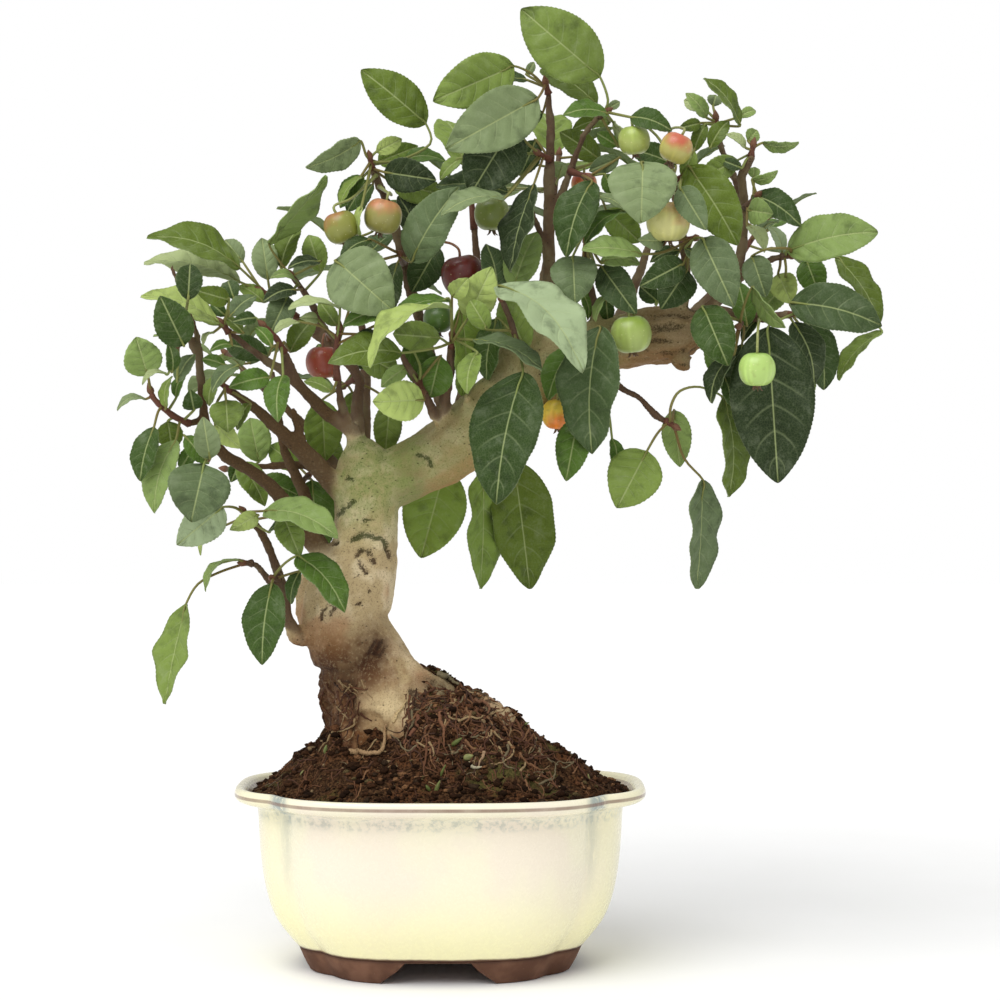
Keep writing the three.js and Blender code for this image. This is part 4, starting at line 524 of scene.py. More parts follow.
def remeshed(mesh, size, rounds):
    """The mesh with an even skin of small faces, its corners eased."""
    copy = show("wood_copy", mesh.copy())
    skin = copy.modifiers.new("skin", "REMESH")
    skin.mode, skin.voxel_size = "VOXEL", size * MM
    ease = copy.modifiers.new("ease", "SMOOTH")
    ease.factor, ease.iterations = 0.5, rounds
    made = worked(copy)
    bpy.data.objects.remove(copy)
    return made


wood = remeshed(TRUNK_MESH, BARK_GRID, 5)
count = len(wood.vertices)
points = np.empty(count * 3)
wood.vertices.foreach_get("co", points)
points = points.reshape(-1, 3) / MM
normals = np.array([v.normal for v in wood.vertices])
wood_faces = [tuple(p.vertices) for p in wood.polygons]
skin_tree = BVHTree.FromPolygons([Vector(p) for p in points], wood_faces)
# Half the wood's thickness at each point, evened out along the bark.
MOST_GIRTH = 30
GIRTH_ROUNDS = 12
girth = np.empty(count)
for i in range(count):
    inwards = -Vector(normals[i])
    hit = skin_tree.ray_cast(Vector(points[i]) + inwards * 0.2, inwards)
    girth[i] = min(hit[3] / 2, MOST_GIRTH) if hit[0] else MOST_GIRTH
edges = np.empty(len(wood.edges) * 2, int)
wood.edges.foreach_get("vertices", edges)
edges = edges.reshape(-1, 2)
links = np.bincount(edges.ravel(), minlength=count)
for _ in range(GIRTH_ROUNDS):
    total = np.bincount(edges[:, 0], girth[edges[:, 1]], count)
    total += np.bincount(edges[:, 1], girth[edges[:, 0]], count)
    girth = 0.5 * girth + 0.5 * total / np.maximum(links, 1)

# Places on the wood, in the sheet's squares.
away = 1 + (points[:, 1] - POT_FOOT[1]) / -EYE[1]
sheet_x = SHEET_MIDDLE + (points[:, 0] - POT_FOOT[0] - EYE[0]) / (SQUARE * away)
sheet_y = SHEET_MIDDLE - (points[:, 2] - EYE[2]) / (SQUARE * away)
fine = np.array([lumps(p, 3.2) for p in points])
middling = np.array([lumps(p + 40, 9) for p in points])
broad = np.array([lumps(p + 90, 24) for p in points])


def beside(route, reach):
    """1 on a route over the sheet, falling smoothly to 0 at reach squares from it."""
    gap = np.full(count, np.inf)
    for (ax, ay), (bx, by) in zip(route, route[1:]):
        x, y, run, drop = sheet_x - ax, sheet_y - ay, bx - ax, by - ay
        t = np.clip((x * run + y * drop) / (run ** 2 + drop ** 2), 0, 1)
        gap = np.minimum(gap, np.hypot(x - t * run, y - t * drop))
    return near(gap, 0, reach)


thick = above(girth, 3.2, 7)
facing = above(-normals[:, 1], 0.1, 0.4)
at_base = above(sheet_y, 655, 700) * thick
at_break = above(sheet_x, 585, 660) * thick
on_limb = above(sheet_x, 400, 450) * (1 - above(sheet_y, 500, 560)) * thick
gnarled = at_base * above(sheet_x + 9 * middling, 366, 352) * above(sheet_y, 668, 680)
# Long wrinkles run along the limb near the break, and down the old bark at the foot.
ridges = np.array([lumps((p[0] / 6, p[1], p[2]), 3.4) for p in points])
furrows = np.array([lumps((p[0], p[1], p[2] / 3.5 + 0.5 * p[0]), 3.6) for p in points])
CREASE = [(316, 671), (344, 674), (357, 667), (371, 654), (386, 644)]
collar = beside(CREASE, 7)
# Painted shade under the bulge, along the crease: a broad dark brown for the shadow there.
under = beside(CREASE, 42) * above(sheet_x, 398, 378)
relief = thick * (0.35 * middling + 0.9 * broad) + (0.12 + 0.1 * thick) * fine
relief += at_base * (0.9 * middling + 0.7 * fine) + at_break * (1.6 * ridges + 0.8 * middling)
relief += gnarled * (2.2 * furrows + 0.9 * middling) - 1.9 * collar * thick
relief += (1 - thick) * (0.24 * middling + 0.12 * fine)
knot = near(np.hypot((sheet_x - 442) / 32, (sheet_y - 686) / 18), 0, 1.25)
relief += knot * (1.8 * furrows + 1.3 * middling)
# Scars where shoots were once cut off, and cracks in the bark: each a route, and its half width.
SCARS = [
    ([(334, 519), (340, 513), (345, 508), (353, 503)], 5), ([(365, 521), (373, 520)], 3.4),
    ([(352, 541), (361, 535), (372, 536), (382, 540), (388, 548), (391, 557)], 5),
    ([(356, 556), (360, 551), (365, 550), (371, 555), (375, 563)], 4.5),
    ([(357, 559), (361, 566), (366, 573)], 3.6), ([(334, 602), (327, 606), (322, 612), (321, 619)], 3.4),
    ([(330, 613), (336, 606)], 3), ([(369, 589), (370, 593)], 3.2), ([(356, 606), (361, 604)], 3),
    ([(376, 640), (370, 650)], 3.2), ([(383, 640), (377, 652)], 3.2), ([(388, 645), (381, 655)], 3),
    ([(418, 454), (427, 458), (431, 466)], 4), ([(331, 543), (336, 542)], 3),
    ([(414, 694), (419, 700), (417, 711)], 7), ([(347, 478), (352, 480)], 3),
    ([(340, 681), (346, 682), (348, 687), (343, 691)], 3.4)]
# The crease is drawn dark with the cracks and scars: painted shade along the crease.
torn_and_crease_shade = collar * 0.45 * thick
for route, reach in SCARS:
    ragged = above(beside(route, reach * 1.5) + 0.6 * fine, 0.3, 1)
    mark = ragged * beside(route, reach * 1.8) ** 0.3 * facing * thick
    relief -= mark
    torn_and_crease_shade = np.maximum(torn_and_crease_shade, mark)
swollen = beside(SCARS[2][0], 13) + beside(SCARS[3][0], 10) - 2 * torn_and_crease_shade * thick
relief += 0.5 * facing * thick * swollen * near(sheet_y, 550, 40)
torn_and_crease_shade = np.maximum(torn_and_crease_shade, (gnarled + knot) * above(furrows, 0.05, -0.35) * 0.8)
torn_and_crease_shade = np.maximum(torn_and_crease_shade, at_break * above(ridges + 0.4 * middling, 0.1, -0.4) * 0.7)
points = points + normals * relief[:, None]
wood.vertices.foreach_set("co", (points * MM).ravel())

# The bark's tone, coat over coat: pale tan, then browns and greys where the wood is old, torn or thin.
# Painted shade under the bulge and down the trunk's right side, and painted highlights on gnarled ridges.
bare = near(np.hypot((sheet_x - 388) / 40, (sheet_y - 706) / 28), 0, 1.3)
# A rust-brown band on the underside of the bulge, darkened as painted shade towards the crease.
rust_band_and_bulge_shade = above(sheet_y + 6 * middling, 608, 658) * above(430 - sheet_x, 0, 60) * thick
twiggy = 1 - above(girth, 2.4, 5.5)
# Painted shade down the right side of the upper trunk.
shaded = above(sheet_x, 378, 404) * above(sheet_x, 432, 414) * above(sheet_y, 516, 488) * thick
brown = above(sheet_x, 342, 328) * above(sheet_y, 372, 396) * above(sheet_y, 566, 540)
mixed, stained = middling + fine, middling + 0.5 * fine
tone = np.tile(colour(192, 170, 128), (count, 1))
for shade, share in (
        ((220, 202, 164), above(middling, -0.25, 0.35)),
        ((182, 142, 104), above(broad + 0.5 * middling, 0.0, 0.5) * above(sheet_y, 540, 600) * 0.8),
        ((150, 134, 92), on_limb * 0.55),
        ((176, 124, 74), on_limb * above(-normals[:, 2], 0.1, 0.8) * 0.7),
        ((124, 82, 40), rust_band_and_bulge_shade * (0.5 + 0.4 * above(mixed, -0.4, 0.3))),
        ((120, 76, 40), at_base * (1 - bare) * above(stained, -0.5, 0.1) * 0.85),
        ((212, 190, 146), at_base * bare * above(stained, -0.45, 0.0) * 0.9),
        ((78, 44, 20), gnarled * 0.92),
        # painted highlights on the raised gnarled ridges
        ((150, 110, 72), gnarled * above(furrows, 0.1, 0.45) * 0.5),
        ((66, 34, 13), under * thick * (0.75 + 0.25 * above(mixed, -0.4, 0.2))),
        ((112, 98, 72), knot * 0.95),
        ((116, 80, 54), at_break * 0.6),
        ((98, 76, 56), twiggy * 0.9),
        ((78, 54, 42), (1 - above(girth, 1.6, 2.6)) * 0.7),
        ((128, 116, 86), twiggy * above(broad + middling, 0.0, 0.5) * 0.5),
        ((112, 98, 56), shaded * 0.7),
        ((82, 60, 34), brown * 0.9)):
    tone += (colour(*shade) - tone) * np.clip(share, 0, 1)[:, None]
tone[:, 3] = 1
algae = above(sheet_y, 570, 480) * (0.5 + 0.5 * above(broad + 0.6 * middling, -0.5, 0.15))
algae *= (1 - 0.8 * at_break) * thick * (1 - 0.5 * on_limb) * (1 - brown)
line = np.interp(sheet_x, [404, 430, 463, 490, 515, 545], [700, 690, 686, 697, 708, 735])
foot = np.interp(sheet_x, [300, 330, 350, 406, 430], [738, 747, 755, 742, 716])
soiled = above(sheet_x + 8 * middling, 404, 424) * above(sheet_y - line + 7 * fine, -5, 6)
soiled = np.maximum(soiled * (1 - 0.7 * knot), above(sheet_y - foot + 7 * fine, -5, 7)) * at_base
cover = np.stack([algae, torn_and_crease_shade, soiled, 1 - twiggy], 1)

bark = Finish("bark", {"Specular IOR Level": 0.28})
film, cracks_and_crease_shade, mud = (bark.axis(bark.read("cover"), letter) for letter in "XYZ")
smooth = bark.read("cover", "Alpha")  # 0 on twigs and branches
speck = bark.grain(1.3, 4, 0.65)
fibre = bark.grain(0.7, 5, 0.7)
blotch = bark.grain(4, 4, 0.7)
flat = bark.node("Mapping", {}, {"Vector": bark.place(), "Scale": (1, 1, 1.7)})
pores = bark.node("TexVoronoi", {}, {"Vector": flat, "Scale": 300.0}).step(0.17, 0.1)
pores = pores * blotch.step(0.42, 0.52)
# Dark in the cracks and scars, and as painted shade along the trunk's crease.
split_and_crease_shade = (cracks_and_crease_shade + (fibre - 0.5) * 2.4 + (speck - 0.5) * 1.2).step(0.3, 0.95)
soil_share = (mud + (speck - 0.5) * 1.1).step(0.42, 0.58)
skin = bark.coats(
    bark.read("tone"),
    ((120, 92, 60), fibre.step(0.5, 0.64) * 0.5),
    ((226, 206, 158), speck.step(0.52, 0.68) * (0.02 + 0.16 * smooth)),
    ((134, 146, 80), film * (0.5 + blotch.step(0.35, 0.6) * 0.36)),
    ((84, 98, 44), film * fibre.step(0.5, 0.64) * blotch.step(0.4, 0.6) * 0.65),
    ((66, 52, 32), pores * 0.8),
    (bark.mix((58, 38, 24), (54, 64, 24), film.step(0.02, 0.25)), split_and_crease_shade * 0.85),
    (bark.mix(EARTH_DARK, EARTH_LIGHT, fibre.step(0.4, 0.62)), soil_share * 0.92))
bark.wear(colour=skin, roughness=0.6 + 0.3 * fibre,
          relief=bark.bump(speck * 0.5 + fibre * 0.6 - pores * 0.3, 0.5))
dress(wood, "wood", bark, ("trunk",), {"tone": [tone], "cover": [cover]})

# ---- Root mat ----
# Fine living roots, red-brown and pale, tangle over the earth that clings to the buttress. Crumbs of
# soil are caught in them, and a few weed seedlings have come up there.
mat_tree = BVHTree.FromPolygons([Vector(p) for p in np.concatenate([points, *mound.points])],
                                [*wood_faces, *[tuple(c + count for c in face) for face in mound.faces]])


def tube(route, radii, sides):
    """A round bar along a route, closed at both ends: its points and faces."""
    route = np.asarray(route, float)
    ahead = np.gradient(route, axis=0)
    ahead /= np.linalg.norm(ahead, axis=1)[:, None]
    normal = np.array([0, -1.0, 0]) if abs(ahead[0][1]) < 0.9 else np.array([1.0, 0, 0])
    angles = 2 * np.pi * np.arange(sides) / sides
    rings = []
    for point, way, radius in zip(route, ahead, radii):
        normal = unit(normal - way * normal.dot(way))
        side = np.cross(way, normal)
        rings.append(point + radius * (np.outer(np.cos(angles), normal) + np.outer(np.sin(angles), side)))
    return loft(rings)


def on_face(x, y, lift):
    """The point of ground or wood under a sheet place, lifted off it; None where there is none."""
    ahead = unit(place((x, y, 0)) - POT_FOOT - EYE)
    spot, facing, _, _ = mat_tree.ray_cast(Vector(POT_FOOT + EYE), Vector(ahead))
    return None if spot is None else np.array(spot + facing * lift)


def on_top(x, y, lift):
    """The same for the soil alone, straight down on a place x, y from the pot's middle."""
    over = Vector(POT_FOOT + (x, y, OVER_HEAP))
    spot, facing, face, _ = mat_tree.ray_cast(over, Vector((0, 0, -1)))
    return None if spot is None or face < len(wood_faces) else np.array(spot + facing * lift)


ROOT_TONES = [colour(*c) for c in ((100, 64, 40), (124, 88, 58), (82, 50, 32), (148, 124, 88),
                                   (110, 98, 72), (62, 38, 24))]
ROOT_SHARES = [28, 16, 24, 7, 9, 16]
OVER_HEAP = 118  # a height just over the heaped soil
OLD_ROOT_TONES = [ROOT_TONES[i] for i in (0, 2, 5, 3)]
root_finish = speckled("fine_roots", 0.3, (0.6, 4, 0.7), (52, 34, 24), (0.5, 0.66), 0.55, (0.6, 0.3), 0.12)
fine_roots = Shape()


def creep(surface, start, heading, length, step, thickness, draw, tone=None):
    """A root that wanders over a surface from its start and thins towards its tip."""
    spot, route = np.array(start, float), []
    lift = draw.uniform(0.1, 0.9) * thickness
    for _ in range(length):
        found = surface(*spot, lift)
        if found is None or (route and np.linalg.norm(found - route[-1]) > 7 * SQUARE * step):
            break
        route.append(found)
        heading += draw.uniform(-0.5, 0.5)
        spot += step * np.array([math.cos(heading), math.sin(heading)])
    if len(route) > 3:
        smooth = curve_through(route, 2)
        radii = thickness * np.linspace(1, 0.35, len(smooth))
        radii *= 1 + 0.12 * np.sin(np.arange(len(smooth)) * 1.9)
        tone = tone or draw.choices(ROOT_TONES, ROOT_SHARES)[0]
        fine_roots.add(*tube(smooth, radii, 6), tone=tone)


draw = random.Random(5)
# Over the earth right of the buttress, on the buttress, along the front, and all round the mound.
for _ in range(230):
    x = draw.uniform(404, 540)
    start = x, np.interp(x, [404, 463, 515, 540], [694, 684, 706, 742]) + 62 * draw.random() ** 1.3
    heading, length = draw.gauss(1.2, 0.9), draw.randint(6, 20)
    creep(on_face, start, heading, length, 2.2, draw.uniform(0.22, 0.62), draw)
for _ in range(46):
    start = draw.uniform(316, 362), draw.uniform(676, 742)
    heading, length, thickness = draw.gauss(1.5, 0.5), draw.randint(5, 13), draw.uniform(0.25, 0.6)
    creep(on_face, start, heading, length, 2.4, thickness, draw, draw.choice(OLD_ROOT_TONES))
for _ in range(90):
    start = draw.uniform(270, 630), draw.uniform(752, 790)
    heading, length = draw.uniform(-3.2, 3.2), draw.randint(4, 12)
    creep(on_face, start, heading, length, 2.4, draw.uniform(0.2, 0.4), draw)
for _ in range(220):
    bearing, reach = draw.uniform(0, 2 * math.pi), draw.uniform(14, 52)
    start = MOUND_MIDDLE + reach * 1.2 * math.cos(bearing), reach * 0.85 * math.sin(bearing)
    heading, length = bearing + draw.gauss(0, 0.7), draw.randint(5, 16)
    creep(on_top, start, heading, length, 1.1, draw.uniform(0.22, 0.6), draw)
# The few thick ones, each from its start across the sheet.
for start, heading, length, thickness, tone in (
        ((350, 754), -0.32, 30, 1.2, (160, 130, 94)), ((393, 722), -0.35, 13, 0.7, (196, 172, 126)),
        ((438, 676), 0.35, 12, 1.3, (112, 102, 76)), ((449, 668), 1.0, 9, 0.9, (96, 74, 58)),
        ((446, 672), -2.2, 4, 0.8, (150, 96, 70)), ((418, 716), 1.5, 16, 1.2, (112, 72, 50)),
        ((440, 712), 1.75, 17, 1.0, (124, 84, 58)), ((475, 700), 1.1, 14, 0.9, (120, 84, 60)),
        ((468, 764), 0.5, 9, 0.9, (176, 168, 140)), ((484, 752), 1.2, 9, 0.8, (160, 130, 100))):
    creep(on_face, start, heading, length, 2.2, thickness, draw, colour(*tone))
fine_roots.piece("fine_roots", root_finish, "bark")

CAUGHT_COUNT = 1500
caught = Shape()
muddy = np.flatnonzero((soiled > 0.55) & (normals[:, 2] > -0.3))
for i in draw.sample(list(muddy), min(len(muddy), CAUGHT_COUNT)):
    size = 0.3 + 0.9 * draw.random() ** 3
    add_clod(caught, points[i] + normals[i] * 0.3 * size, size, draw)
caught.piece("caught_crumbs", clod_finish, "soil")

SEED_TONES = [colour(*c) for c in ((112, 120, 66), (98, 108, 54), (140, 140, 88))]
seedling_finish = speckled("seedlings", 0.35, (1.2, 3), (66, 84, 34), (0.45, 0.7), 0.5, (0.5, 0.2), 0.1)
seedlings = Shape()
# Each seedling or bulb: where it comes up, how it leans, its length and thickness.
for x, y, lean, length, thickness in (
        (325, 753, -0.1, 3.4, 0.8), (452, 745, 0.9, 4.5, 0.9), (436, 793, 0.1, 5, 0.8),
        (441, 776, 0.2, 4.6, 0.5), (464, 758, 1.3, 3.6, 1.4), (474, 748, 2.2, 3.5, 0.8),
        (430, 790, -0.8, 3, 0.7), (524, 724, 1.3, 2.4, 0.5), (452, 700, 1.4, 2.6, 0.6),
        (300, 775, 0.4, 2.2, 0.4), (590, 779, -0.5, 2.6, 0.4)):
    foot_point = on_face(x, y, -0.3)
    if foot_point is not None:
        way = unit(np.array([math.sin(lean), -0.35, math.cos(lean)]))
        bend = np.array([0.25 * math.cos(lean), 0, 0.1]) * length
        route = [foot_point + way * length * t + bend * t * t for t in np.linspace(0, 1, 7)]
        radii = thickness * np.array([0.7, 0.9, 1, 0.95, 0.8, 0.55, 0.15])
        seedlings.add(*tube(route, radii, 8), tone=draw.choice(SEED_TONES))
seedlings.piece("seedlings", seedling_finish, "leaf")

# ---- Leafy shoots ----
# Each shoot is a thin woody twig with a bud at its end, which grew out of a branch. Its leaves are
# thin ovals with fine teeth and sunken side veins, each folded along its rib and held by a stalk.
SWINGS = [0, -2, 2, -4, 4, -6, 6, -9, 9, -12, 12, -16, 16, -20, 20]  # millimetres, back or forwards
TOUCHING = 0.06  # how near a blade's end lies to the solid that it matches
LEAST_BLADE = 14.5  # shorter blades have no solid to match
STALK_PITCH = 1.4
ROOTED = 0.6  # how deep a twig or stalk starts in the wood
TWIG_FLARE, TWIG_THICK, TWIG_THIN = 1.7, 1.35, 1.05
LEAF_BUD, END_BUD = (2.6, 0.95), (4.6, 1.5)  # length and half width
LEAF_RATIO = 0.52
LEAF_FOLD = 0.16
LEAF_WAVE = 0.05
LEAF_THICKNESS = 0.36
TOOTH = 1.6
TOOTH_DEPTH = 0.26
SIDE_VEINS = 6
LEAF_TONES = {name: colour(*tone) for name, tone in {
    "very_dark": (40, 55, 25), "dark": (50, 71, 26), "mid_dark": (58, 82, 27), "mid": (81, 111, 37),
    "light": (134, 157, 86), "yellow": (167, 185, 102), "lime": (122, 147, 60), "pale": (166, 179, 124),
    "olive": (92, 111, 35), "light_olive": (121, 142, 64), "grey": (127, 143, 99), "blue": (67, 86, 48),
    "blue_grey": (96, 113, 75), "pale_blue": (158, 175, 134)}.items()}
STALK_GREEN, STALK_RED = colour(134, 150, 84), colour(120, 84, 50)

leaf_finish = Finish("leaf_skin", {"Specular IOR Level": 0.2})
tone = leaf_finish.read("tone")
top = leaf_finish.read("tone", "Alpha")
blade = leaf_finish.read("blade", "Vector")
along, across, reach = (leaf_finish.axis(blade, letter) for letter in "XYZ")
off_rib = abs(across)
from_rib = off_rib * reach  # in millimetres
to_vein = abs((along * SIDE_VEINS - off_rib ** 1.3 * 1.2 + 0.5).part() - 0.5)
veins = to_vein.step(0.09, 0.0) * off_rib.step(1.0, 0.3) * along.step(0.0, 0.06)
net = leaf_finish.node("TexVoronoi", {"feature": "DISTANCE_TO_EDGE"},
                       {"Vector": leaf_finish.place(), "Scale": 900.0}).step(0.12, 0.0)
rib = from_rib.step(0.46, 0.14) * reach.step(0.0, 0.5)
margin = (reach - from_rib).step(0.3, 0.05) * reach.step(0.3, 1.2)
patch = leaf_finish.grain(8, 4, 0.6)
bloom = leaf_finish.grain(2.2, 4, 0.65).step(0.5, 0.78) + patch.step(0.46, 0.28)
green = leaf_finish.coats(
    tone,
    ((30, 42, 18), patch.step(0.5, 0.7) * 0.42),
    ((190, 200, 168), bloom * 0.1),
    ((178, 192, 140), net * 0.06 + veins * 0.17 + margin * 0.16),
    ((176, 188, 128), rib * 0.55))
under = leaf_finish.mix(green, (150, 168, 122), 0.45)
is_blade = reach.step(0.0, 0.05)
green = leaf_finish.mix(tone, leaf_finish.mix(under, green, top), is_blade)
speckle = leaf_finish.grain(0.8, 4, 0.7)
leaf_finish.wear(colour=green, roughness=0.42 + 0.18 * patch + 0.12 * (1 - top) + 0.1 * speckle,
                 relief=leaf_finish.bump(1 - veins * 0.7 - net * 0.12 - rib * 0.6, 0.22))

twig_finish = Finish("twig_bark", {"Specular IOR Level": 0.35})
fibre = twig_finish.grain(0.8, 4, 0.7)
brown = twig_finish.coats(
    twig_finish.read("tone"),
    ((46, 30, 24), fibre.step(0.5, 0.72) * 0.6),
    ((150, 130, 102), twig_finish.grain(0.5, 2).step(0.64, 0.74) * 0.4))
twig_finish.wear(colour=brown, roughness=0.5 + 0.3 * fibre, relief=twig_finish.bump(fibre, 0.16))


def blade_of(base, tip, shown):
    """A blade's width and the way its face looks, from how wide it shows: below 0 from underneath."""
    length = np.linalg.norm(tip - base)
    rib = (tip - base) / length
    to_eye = unit(POT_FOOT + EYE - (base + tip) / 2)
    flat = unit(to_eye - rib * to_eye.dot(rib))
    side = np.cross(rib, flat)
    width = max(abs(shown), LEAF_RATIO * length)
    roll = math.acos(abs(shown) / width) * (1 if side[2] * shown > 0 else -1)
    return width, flat * math.cos(roll) + side * math.sin(roll)


def stations_of(length):
    """Where along a blade its edges wave, as shares of its length."""
    if length > 46:
        return [0.16, 0.4, 0.66, 0.86]
    if length > 28:
        return [0.2, 0.52, 0.82]
    return [0.28, 0.72] if length > 17 else [0.48]


def grow_leaf(shape, leaf, stalk, draw):
    """A toothed blade, folded along its rib and arched, with the stalk that it hangs on."""
    base, tip, width, face, arch = (leaf[key] for key in ("base", "tip", "width", "face", "arch"))
    length = np.linalg.norm(tip - base)
    rib = (tip - base) / length
    side = np.cross(rib, face)
    teeth = max(6, round(length / TOOTH))
    notches = np.arange(teeth + 1) / teeth
    tips = (np.arange(teeth) + 0.74) / teeth
    t = np.sort(np.concatenate([notches, tips]))
    toothed = np.isin(t, tips) * np.clip(np.minimum(t, 1 - t) * 8, 0, 1)
    a = np.array([-1, -0.86, -0.66, -0.44, -0.22, -0.07, 0, 0.07, 0.22, 0.44, 0.66, 0.86, 1])
    outline = np.sin(np.pi * np.clip(t, 0.001, 0.999) ** 0.84) ** 0.66
    outline *= 1 - 0.14 * np.clip((t - 0.8) / 0.2, 0, 1) ** 1.5 * (1 - np.clip((t - 0.97) / 0.03, 0, 1))
    half = np.maximum(width / 2 * outline, 0.12)
    stations = stations_of(length)
    knots, waves = [0, *stations, 1], [0, *[1 if i % 2 else -1 for i in range(len(stations))], 0]
    wave = np.interp(t, knots, waves)
    ripple = draw.uniform(0, 6.28)
    T, A = np.meshgrid(t, a, indexing="ij")
    H = half[:, None] * np.ones_like(A)
    out = A * (H + toothed[:, None] * TOOTH_DEPTH * np.abs(A) ** 6 * np.minimum(1, H / 4))
    lift = LEAF_FOLD * H * (np.sqrt(A * A + 0.012) - 0.11) + LEAF_WAVE * width * wave[:, None] * A
    lift += 0.03 * width * np.abs(A) ** 3 * np.sin(T * 19 + ripple + 2 * A)
    phase = T * SIDE_VEINS - np.abs(A) ** 1.2 * 0.95
    quilted = np.sin(np.pi * np.clip(np.abs(A), 0, 1)) ** 0.8
    lift += 0.028 * min(width, 22) * np.cos(2 * np.pi * phase + np.pi) * quilted
    lift -= 0.03 * min(width, 20) * np.exp(-(A / 0.12) ** 2)
    spine = base + rib * (length * T)[..., None] + face * (arch * 4 * T * (1 - T))[..., None]
    upper = spine + side * out[..., None] + face * lift[..., None]
    lower = upper - face * LEAF_THICKNESS
    rows, cols = T.shape
    faces = []
    last = rows * cols
    for i in range(rows - 1):
        for j in range(cols - 1):
            p = i * cols + j
            faces.append((p, p + 1, p + cols + 1, p + cols))
            faces.append((last + p, last + p + cols, last + p + cols + 1, last + p + 1))
        p, q = i * cols, i * cols + cols - 1
        faces.append((p, p + cols, last + p + cols, last + p))
        faces.append((q, last + q, last + q + cols, q + cols))
    for j in range(cols - 1):
        faces.append((j, last + j, last + j + 1, j + 1))
        p = (rows - 1) * cols + j
        faces.append((p, p + 1, last + p + 1, last + p))
    tone = np.array(leaf["tone"])[:3] * draw.uniform(0.88, 1.12)
    tones = np.repeat([(*tone, 1), (*tone, 0)], last, 0)  # the top face, then the underside
    notes = np.stack([T, A, H], -1).reshape(-1, 3)
    shape.add([upper, lower], faces, blade=np.tile(notes, (2, 1)), tone=tones)
    # The stalk, which runs on under the blade as its midrib.
    route = curve_through([*stalk, base, base + rib * length * 0.12 + face * (arch * 0.42 - 0.3)], 4)
    sunk = LEAF_THICKNESS + 0.03 * min(width, 20)
    under = [base + rib * length * t + face * (arch * 4 * t * (1 - t) - sunk)
             for t in np.linspace(0.2, 0.86, 6)]
    radii = np.concatenate([np.linspace(0.62, 0.44, len(route)), np.linspace(0.4, 0.12, len(under))])
    red = np.linspace(draw.uniform(0.2, 0.9), 0, len(radii))[:, None]
    tones = np.array(STALK_GREEN) * (1 - red) + np.array(STALK_RED) * red
    shape.add(*tube([*route, *under], radii, 6), blade=(0, 0, 0), tone=np.repeat(tones, 6, 0))


def nearest_along(route, target):
    """How far along a route its nearest point to the target lies."""
    best, run = (np.inf, 0), 0
    for a, b in zip(route, route[1:]):
        step = np.linalg.norm(b - a)
        t = np.clip((target - a).dot(b - a) / step ** 2, 0, 1)
        best = min(best, (np.linalg.norm(a + (b - a) * t - target), run + step * t))
        run += step
    return best[1]


def point_along(route, run):
    """The point of a route at a run along it."""
    for a, b in zip(route, route[1:]):
        step = np.linalg.norm(b - a)
        if run <= step:
            return a + (b - a) * run / step
        run -= step
    return route[-1]


def stalk_starts(route, targets):
    """Where on its twig each leaf's stalk starts: nearest to its leaf, but clear of its neighbours."""
    total = sum(np.linalg.norm(b - a) for a, b in zip(route, route[1:]))
    pitch = min(STALK_PITCH, total / max(1, len(targets)))
    order = sorted(range(len(targets)), key=lambda i: nearest_along(route, targets[i]))
    spots, limit = {}, total
    for rank, i in enumerate(order):
        spots[i] = max(nearest_along(route, targets[i]), rank * pitch)
    for i in reversed(order):
        spots[i] = min(spots[i], limit)
        limit = spots[i] - pitch
    return [point_along(route, spots[i]) for i in range(len(targets))]


def add_bud(shape, foot, way, length, width, tone):
    """A bud of overlapping scales, plump below its pointed tip."""
    outline = [(0, 0.55), (0.16, 0.92), (0.36, 1), (0.6, 0.78), (0.84, 0.36), (1, 0.06)]
    spine, radii = [foot + way * length * t for t, _ in outline], [width * w for _, w in outline]
    shape.add(*tube(spine, radii, 7), tone=tone)


BUD_BROWN, TWIG_BROWN, TWIG_RED = colour(118, 80, 58), colour(96, 74, 56), colour(104, 62, 46)


def on_wood(spot):
    """The nearest point of the wood's surface, a little way inside it."""
    found, normal = wood_tree.find_nearest(Vector(spot))[:2]
    return np.array(found - normal * ROOTED)


